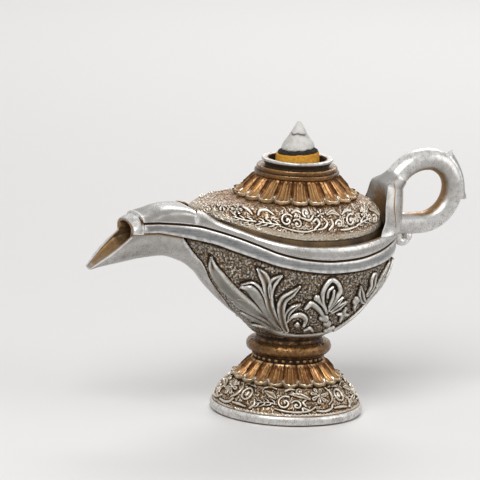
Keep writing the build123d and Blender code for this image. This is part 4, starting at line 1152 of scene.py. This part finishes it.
def build_handle():
    """The loop's tube, and the dished shield it grows from."""
    line = loop_line()
    loops = wander(tube(line, tube_radius, 64), 5.0, 51, 0.10)
    gap_x, gap_z = 47.2, 72.4  # the middle of the finger gap
    to_gap = hypot(loops[..., 0] - gap_x, loops[..., 2] - gap_z)
    inward = hypot(line[:, 0] - gap_x, line[:, 1] - gap_z)[:, None] - to_gap
    soil = 0.44 * ease(1.2, 3.3, inward) + 0.4 * ease(37.5, 35.5, loops[..., 0]) * (loops[..., 2] < 70)
    soil = maximum(soil, 0.60 * handle_seam(loops) * (loops[..., 2] > 76))
    Piece().loops(loops, soil).build("loop", "lamp", "silver", silver, "handle_loop")

    place = linspace(0, 1, len(shield_z_shares))
    x_at, z_at, lean_at, width_at, back_at, dish_at, edge_at = (smooth_table(place, shares) for shares in (
        shield_x_shares, shield_z_shares, shield_tilt_shares, shield_width_shares,
        shield_back_shares, shield_dish_shares, shield_edge_shares))
    half_turn = linspace(-pi / 2, pi / 2, 60)
    across, up = loop_top[0] - loop_start[0], loop_top[1] - loop_start[1]
    lean_end = pi / 2 - atan2(across, (across ** 2 + up ** 2) / (2 * up) - up)
    loops, shield_dark = [], []
    for s in linspace(0, 1, 120):
        x = shield_base[0] + x_at(s) * (loop_start[0] - shield_base[0])
        z = shield_base[1] + z_at(s) * (loop_start[1] - shield_base[1])
        half = tube_radius + width_at(s) * (shield_half_width - tube_radius)
        lean = lean_at(s) * lean_end
        loop, stain = [], []
        for depth, way in ((back_at(s) * shield_back, 1), (dish_at(s) * shield_dish, -1)):
            for t in way * half_turn:
                reach = depth * cos(t) + way * edge_at(s) * shield_edge / 2 * cos(t) ** 0.35
                loop.append((x + reach * cos(lean), half * sin(t), z - reach * sin(lean)))
                stain.append(cos(t) if way < 0 else 0.0)
        loops.append(loop)
        shield_dark.append(stain)
    loops, shield_dark = array(loops), array(shield_dark)
    lowest_shown = 59.9
    keep = loops[:, :, 2].max(1) > lowest_shown
    loops, shield_dark = loops[keep], shield_dark[keep]
    # darker over the middle of the dished face, and near the rim inside the dish
    shield_dark = shield_dark ** 2 * (0.14 + 0.22 * ease(77.5, 73.0, loops[..., 2]) * ease(63.5, 67.5, loops[..., 2]))
    rim = rim_z(loops[..., 0])
    loops[..., 2] = maximum(loops[..., 2], rim - 0.1)
    in_dish = arange(loops.shape[1])[None] >= len(half_turn)
    shield_dark = shield_dark + 0.5 * in_dish * ease(1.2, 0.2, loops[..., 2] - rim)
    shield_dark = maximum(shield_dark, 0.60 * handle_seam(loops) * ~in_dish)
    piece = Piece().loops(wander(loops, 4.0, 61, 0.07), shield_dark)
    piece.build("shield", "lamp", "silver", silver, "handle_shield")


def build_leaf():
    """A leaf that wraps the outside of the loop, with a stepped start, and ends in a spur."""
    middle = (loop_top[0], loop_top[1] - (loop_reach - loop_top[0]))
    outer = loop_reach - loop_top[0] + tube_radius
    angles = linspace(56, -21, 90)
    half = smooth_table((-21, -17, -8, 10, 40, 54, 56), (0.25, 0.9, 2.0, 2.5, 2.6, 2.3, 1.6))(angles)
    thick = smooth_table((-21, -19.5, -16, -8, 0, 20, 50, 54, 56),
                         (-0.1, 0.3, 2.45, 1.3, 0.85, 0.5, 1.2, 2.0, 0.3))(angles)
    across = linspace(-1, 1, 41)
    loops = []
    for turn, h, t in zip(np.radians(angles), half, thick):
        wrap = sqrt(maximum(tube_radius ** 2 - (across * h) ** 2, 0)) - tube_radius
        veins = 0.30 * exp(-((abs(across) - 0.28) / 0.12) ** 2)
        above = outer + wrap + t * (1 - 0.75 * abs(across) ** 1.5 - veins)
        reach = concatenate([above, (outer + wrap - 0.5)[::-1]])
        side = concatenate([across, across[::-1]]) * h
        loops.append(stack([middle[0] + cos(turn) * reach, side, middle[1] + sin(turn) * reach], -1))
    loops = array(loops)
    loops[..., 0] = minimum(loops[..., 0], leaf_reach)
    Piece().loops(loops).build("loop_leaf", "lamp", "bright_relief", silver, "handle_leaf")


def build_scroll():
    """The hook under the handle, which curls up into a ball."""
    centre, size, stem_top = (38.9, 57.1), 1.7, 59.8
    line = [(centre[0] - size, z) for z in linspace(stem_top, centre[1], 6)]
    line += [(centre[0] + size * cos(t), centre[1] + size * sin(t))
             for t in linspace(pi, 2 * pi + 0.5, 26)[1:]]
    radius = np.interp(linspace(0, 1, len(line)), (0, 0.3, 0.7, 1), (1.6, 1.5, 1.4, 0.9))
    ball = sphere(28, 16) * (1.7, 1.9, 2.0)
    ball = ball + array([centre[0] + size, 0, centre[1] + 0.3])
    piece = Piece().loops(tube(line, radius, 24)).grid(ball, True)
    piece.build("scroll", "lamp", "silver", silver, "handle_scroll")


# Lid

def lid_ornament(relief):
    """Scrollwork round the lid's flank: paired volutes, curls, sprigs and vines."""
    stem, leaf, volute, flower, sprig = relief.stem, relief.leaf, relief.volute, relief.flower, relief.sprig
    volute(-11.3, 68.1, 2.0, 40, 1.1, 0.34, 1)
    volute(-8.2, 67.1, 1.5, 140, 1.05, 0.32, -1)
    stem(1, (0.25, 0.40, 0.28), (-13.4, 66.2), (-9.6, 65.1), (-5.6, 64.7), (-2.3, 65.5))
    volute(-5.1, 70.4, 1.2, 250, 1.0, 0.38, -1)
    stem(1, (0.3, 0.5, 0.3), (-6.7, 68.9), (-4.3, 68.3), (-2.9, 69.6))
    stem(1, (0.3, 0.5, 0.3), (-9.6, 70.3), (-8.0, 71.0), (-6.8, 70.4))
    sprig([(-13.4, 66.6), (-16.4, 66.9), (-19.4, 67.2)], 6, 1.5, 0.36)
    sprig([(-20.4, 67.2), (-23.4, 67.4), (-26.4, 68.2)], 5, 1.4, 0.34)
    flower(-25.4, 70.5, 1.6, 6)
    flower(-29.3, 71.0, 1.4, 6)
    stem(1, (0.3, 0.5, 0.4), (-15.0, 69.6), (-16.8, 70.8), (-18.9, 70.6), (-19.5, 69.3))
    stem(1, (0.3, 0.5, 0.3), (-21.2, 69.4), (-22.2, 70.6), (-23.6, 71.2))
    stem(1, (0.35, 0.5, 0.35), (-2.7, 65.7), (-1.2, 67.2), (-1.9, 68.6), (-3.2, 67.9))
    stem(1, (0.35, 0.5, 0.35), (-1.4, 65.4), (0.6, 65.9), (1.6, 67.4), (0.6, 68.6))
    flower(-0.4, 70.0, 1.3, 5)
    stem(1, (0.35, 0.55, 0.3), (2.2, 65.2), (3.5, 66.7), (3.1, 68.4))
    leaf(1, (0.3, 0.7, 0.3), (1.8, 69.8), (4.0, 70.4), (5.9, 69.5))
    volute(5.9, 66.9, 1.35, 180, 1.05, 0.40, -1)
    volute(10.4, 67.6, 1.9, 60, 1.15, 0.34, 1)
    stem(1, (0.35, 0.5, 0.3), (6.6, 65.0), (9.4, 65.0), (12.8, 65.6))
    stem(1, (0.3, 0.5, 0.3), (7.4, 69.6), (9.2, 70.5), (11.2, 70.3))
    sprig([(13.0, 65.9), (16.0, 66.9), (19.0, 67.2)], 5, 1.5, 0.36)
    flower(16.6, 69.3, 1.6, 7)
    volute(21.2, 66.6, 1.3, 100, 1.05, 0.38, -1)
    leaf(1, (0.3, 0.7, 0.3), (20.0, 69.6), (22.4, 68.8), (24.0, 67.2))


def build_lid():
    turn, share = full_turn(1100), linspace(0, 1, 130)[None]
    edge = lid_edge_z(lid.points(turn, 1.0 + 0 * turn)[..., 0])
    start = lid.place(edge)
    points = lid.points(turn, start + (lid.last - start) * share)
    relief = Relief(points[..., 0], points[..., 2], 0.62)
    filler(relief, 300, 64.5, 71.6, 0.16, 19)
    lid_ornament(relief)
    facing = ease(0.12, 0.35, abs(surface_normals(points, True)[..., 1]))
    top = Relief(points[..., 0], points[..., 1])
    filler(top, 420, -22, 22, 0.16, 23)
    height = maximum(relief.height * facing, top.height * (1 - facing))
    flat = clip(1 - height / 0.2, 0, 1)
    pebble = 0.13 * abs(noise(points, 0.7, 71)) + 0.09 * noise(points, 0.4, 72)
    rise = points[..., 2] - edge
    lift = height + flat * (pebble - 0.07) * ease(0.0, 0.5, rise) - 0.35 * ease(0.5, 0.0, rise)
    points = pushed(points, lift)
    points[..., 2] = minimum(points[..., 2], lid_top)
    # painted shade at the top, under the petal collar, and lighter along the lower border
    soil = 0.35 * ease(lid_top - 0.9, lid_top - 0.1, points[..., 2]) - 0.35 * ease(3.2, 1.6, rise)
    piece = Piece().grid(points, True, soil=soil, ground=flat * (0.15 + 0.85 * ease(1.4, 3.2, rise)))
    bore = circles(lid_bore, lid_top, turn)
    down = array([0, 0, lid_wall])
    inner = lid.points(turn, linspace(lid.last, 0, 40)[None] + 0 * turn, -lid_wall) - down
    inner[..., 2] = maximum(inner[..., 2], edge)
    piece.grid(concatenate([points[:, -1:], bore, bore - down, inner, points[:, :1]], 1), True, soil=0.8)
    piece.build("lid_shell", "lid", "champagne", champagne, "lid_dome")

    petal_collar("lid_petals", "lid", lid_top, 7.3, 21.0, 12.9, lid_bore, "lid_petal_collar")
    seat, hole, wide, narrow = lid_top + 6.3, 10.5, 13.9, 13.2
    step, crown = seat + 2.2, seat + 3.7
    ring = rounded([(hole, seat), (13.0, seat), (wide, seat + 0.9), (wide, step - 0.1), (narrow, step + 0.1),
                    (narrow + 0.05, crown), (hole, crown)], [0, 0.3, 0.4, 0.4, 0.1, 0.5, 0], 5, 0.4)
    points = lathe(ring, 300, 0.05, 1.2)
    piece = Piece().grid(points, True, True, soil=0.5 * ease(0.35, 0.0, abs(points[..., 2] - step)))
    piece.build("step_ring", "lid", "dark_bronze", dark_bronze, "lid_step_ring")

    flange, top, floor = seat + 4.5, seat + 6.2, seat + 2.7
    smoke_hole, barrel, brim, recess = 2.2, 10.4, 11.75, 9.4
    cup = rounded([(smoke_hole, seat), (barrel, seat), (barrel, flange), (11.0, flange), (11.1, flange + 0.6),
                   (brim, flange + 0.8), (brim, top), (recess, top - 0.15), (recess, floor),
                   (smoke_hole, floor)], [0, 0, 0.1, 0.1, 0.1, 0.3, 0.45, 0.5, 0.4, 0.3], 6, 0.5)
    points = lathe(cup, 300, 0.05, 2.0)
    r = hypot(points[..., 0], points[..., 1])
    # painted shade below the brim and in the recess, and darker across the top towards the recess
    soil = 0.75 * (r < recess + 0.35) + 0.9 * ease(flange + 0.8, flange + 0.6, points[..., 2])
    soil = soil + 0.40 * ease(11.25, 10.2, r) * (points[..., 2] > top - 0.6)
    Piece().grid(points, True, True, soil=soil).build("cup", "lid", "silver", silver, "lid_cup")


# Incense

def cone_skin(turn, low, high, radii, seed, rough, steps):
    """Skin of one state of the incense, between lines that slant and wander, save at the seat and the tip."""
    share = linspace(0, 1, steps)[None]
    around, slant = circles(3, 0, turn)[:, 0], 0.45 * cos(turn)
    bottom = low + (low > 0) * (slant + 0.16 * noise(around, 0.9, seed)[:, None])
    top = high + (high < cone_tall) * (slant + 0.16 * noise(around, 0.9, seed + 1)[:, None])
    r = smooth_table(*radii)(share) + 0 * turn
    points = stack([r * cos(turn), r * sin(turn), cone_seat + bottom + (top - bottom) * share], -1)
    points = pushed(points, rough * noise(points, 1.6, seed) + 0.6 * rough * noise(points, 0.5, seed + 5))
    points[..., 2] = clip(points[..., 2], cone_seat, cone_seat + cone_tall)
    return points


def build_cone():
    """The incense in its three states, parted by slanting burn lines."""
    def closed(skin, name, slot, paint, node, soil=0.0):
        piece = Piece().grid(skin, True, soil=soil).cap(skin[:, 0][::-1]).cap(skin[:, -1])
        piece.build(name, "incense", slot, paint, node)

    turn = full_turn(240)
    raw = cone_skin(turn, 0.0, raw_top, ((0, 0.08, 0.5, 0.93, 1), (7.1, 7.3, 7.15, 6.95, 6.5)), 81, 0.07, 34)
    closed(raw, "incense_raw", "incense", incense_paint(), "incense_cone")
    burnt = cone_skin(turn, raw_top, burnt_top, ((0, 0.15, 0.8, 1), (6.3, 6.6, 5.9, 5.3)), 82, 0.12, 18)
    closed(burnt, "incense_burnt", "char", char_paint(), "incense_char")
    ash_radii = ((0, 0.05, 0.5, 0.9, 0.97, 1), (5.1, 5.35, 3.05, 1.05, 0.6, 0.2))
    ash = cone_skin(turn, burnt_top, cone_tall, ash_radii, 83, 0.12, 70)
    rift = rift_height + 0.5 * noise(circles(3, 0, turn)[:, 0], 1.5, 90)[:, None]
    crack = exp(-((ash[..., 2] - rift) / 0.30) ** 2) * ease(0.15, 0.75, cos(turn - radians(-118)))
    ash[..., :2] *= (1 - 0.10 * crack)[..., None]
    closed(ash, "incense_ashes", "ash", ash_paint(), "incense_ash", crack * 0.9)


build_foot()
build_foot_rings()
build_bowl()
build_keel()
build_bands()
build_hood()
build_handle()
build_leaf()
build_scroll()
build_lid()
build_cone()

skirt_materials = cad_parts["lid_skirt"].data.materials
skirt_materials.clear()
skirt_materials.append(skirt_shadow_paint)


# Stage, light and camera

def build_stage():
    far = 3.0
    mesh = bpy.data.meshes.new("floor")
    mesh.from_pydata([(-far, -far, 0), (far, -far, 0), (far, far, 0), (-far, far, 0)], [], [(0, 1, 2, 3)])
    floor = bpy.data.objects.new("floor", mesh)
    bpy.context.scene.collection.objects.link(floor)
    mesh.materials.append(Paint("floor_paint").finish((0.80, 0.79, 0.78), 0.9, specular=0.2))


def area_light(name, place, size, power):
    lamp = bpy.data.lights.new(name, "AREA")
    lamp.energy, lamp.size = power, size
    thing = bpy.data.objects.new(name, lamp)
    bpy.context.scene.collection.objects.link(thing)
    thing.location = place
    thing.rotation_euler = (Vector((0, 0, 0.05)) - Vector(place)).to_track_quat("-Z", "Y").to_euler()


def build_world():
    """Pale surroundings where they are seen, straight or mirrored or through, and softer ones as light."""
    world = bpy.data.worlds.new("surroundings")
    bpy.context.scene.world = world
    world.use_nodes = True
    nodes, links = world.node_tree.nodes, world.node_tree.links
    background = nodes["Background"]
    path = nodes.new("ShaderNodeLightPath")
    seen = path.outputs["Is Camera Ray"]
    for way in ("Is Glossy Ray", "Is Transmission Ray"):
        either = nodes.new("ShaderNodeMath")
        either.operation = "MAXIMUM"
        links.new(seen, either.inputs[0])
        links.new(path.outputs[way], either.inputs[1])
        seen = either.outputs[0]
    pick = nodes.new("ShaderNodeMix")
    pick.data_type = "FLOAT"
    links.new(seen, pick.inputs[0])
    for socket, strength in ((2, 0.34), (3, 1.0)):
        pick.inputs[socket].default_value = strength
    background.inputs["Color"].default_value = (0.84, 0.835, 0.83, 1)
    links.new(pick.outputs[0], background.inputs["Strength"])


def build_camera():
    """Looks from the spout's side and a little above, turned slightly as the photograph is."""
    azimuth, elevation, roll = radians(-22), radians(11.3), radians(2.6)
    distance, pixel, frame_px = 1.5, 0.33 * MM, 480
    away = Vector((sin(azimuth) * cos(elevation), -cos(azimuth) * cos(elevation), sin(elevation)))
    right = Vector((cos(azimuth), sin(azimuth), 0))
    up = away.cross(right)
    aim_across, aim_up = -17.5 * MM, 55.2 * MM
    target = right * aim_across + up * aim_up
    eye = target + away * distance
    camera = bpy.data.objects.new("camera", bpy.data.cameras.new("camera"))
    bpy.context.scene.collection.objects.link(camera)
    tilted_right = right * cos(roll) + up * sin(roll)
    tilted_up = up * cos(roll) - right * sin(roll)
    turn = Matrix((tilted_right, tilted_up, away)).transposed().to_4x4()
    camera.matrix_world = Matrix.Translation(eye) @ turn
    camera.data.sensor_width = 36.0
    camera.data.lens = camera.data.sensor_width * distance / (pixel * frame_px)
    bpy.context.scene.camera = camera


build_stage()
build_world()
area_light("key", (-0.55, -0.75, 0.95), 0.7, 12)
area_light("fill", (0.9, -0.7, 0.5), 0.9, 4)
area_light("rim", (0.5, 0.9, 0.8), 0.6, 6)
build_camera()
bpy.context.scene.view_settings.view_transform = "Standard"
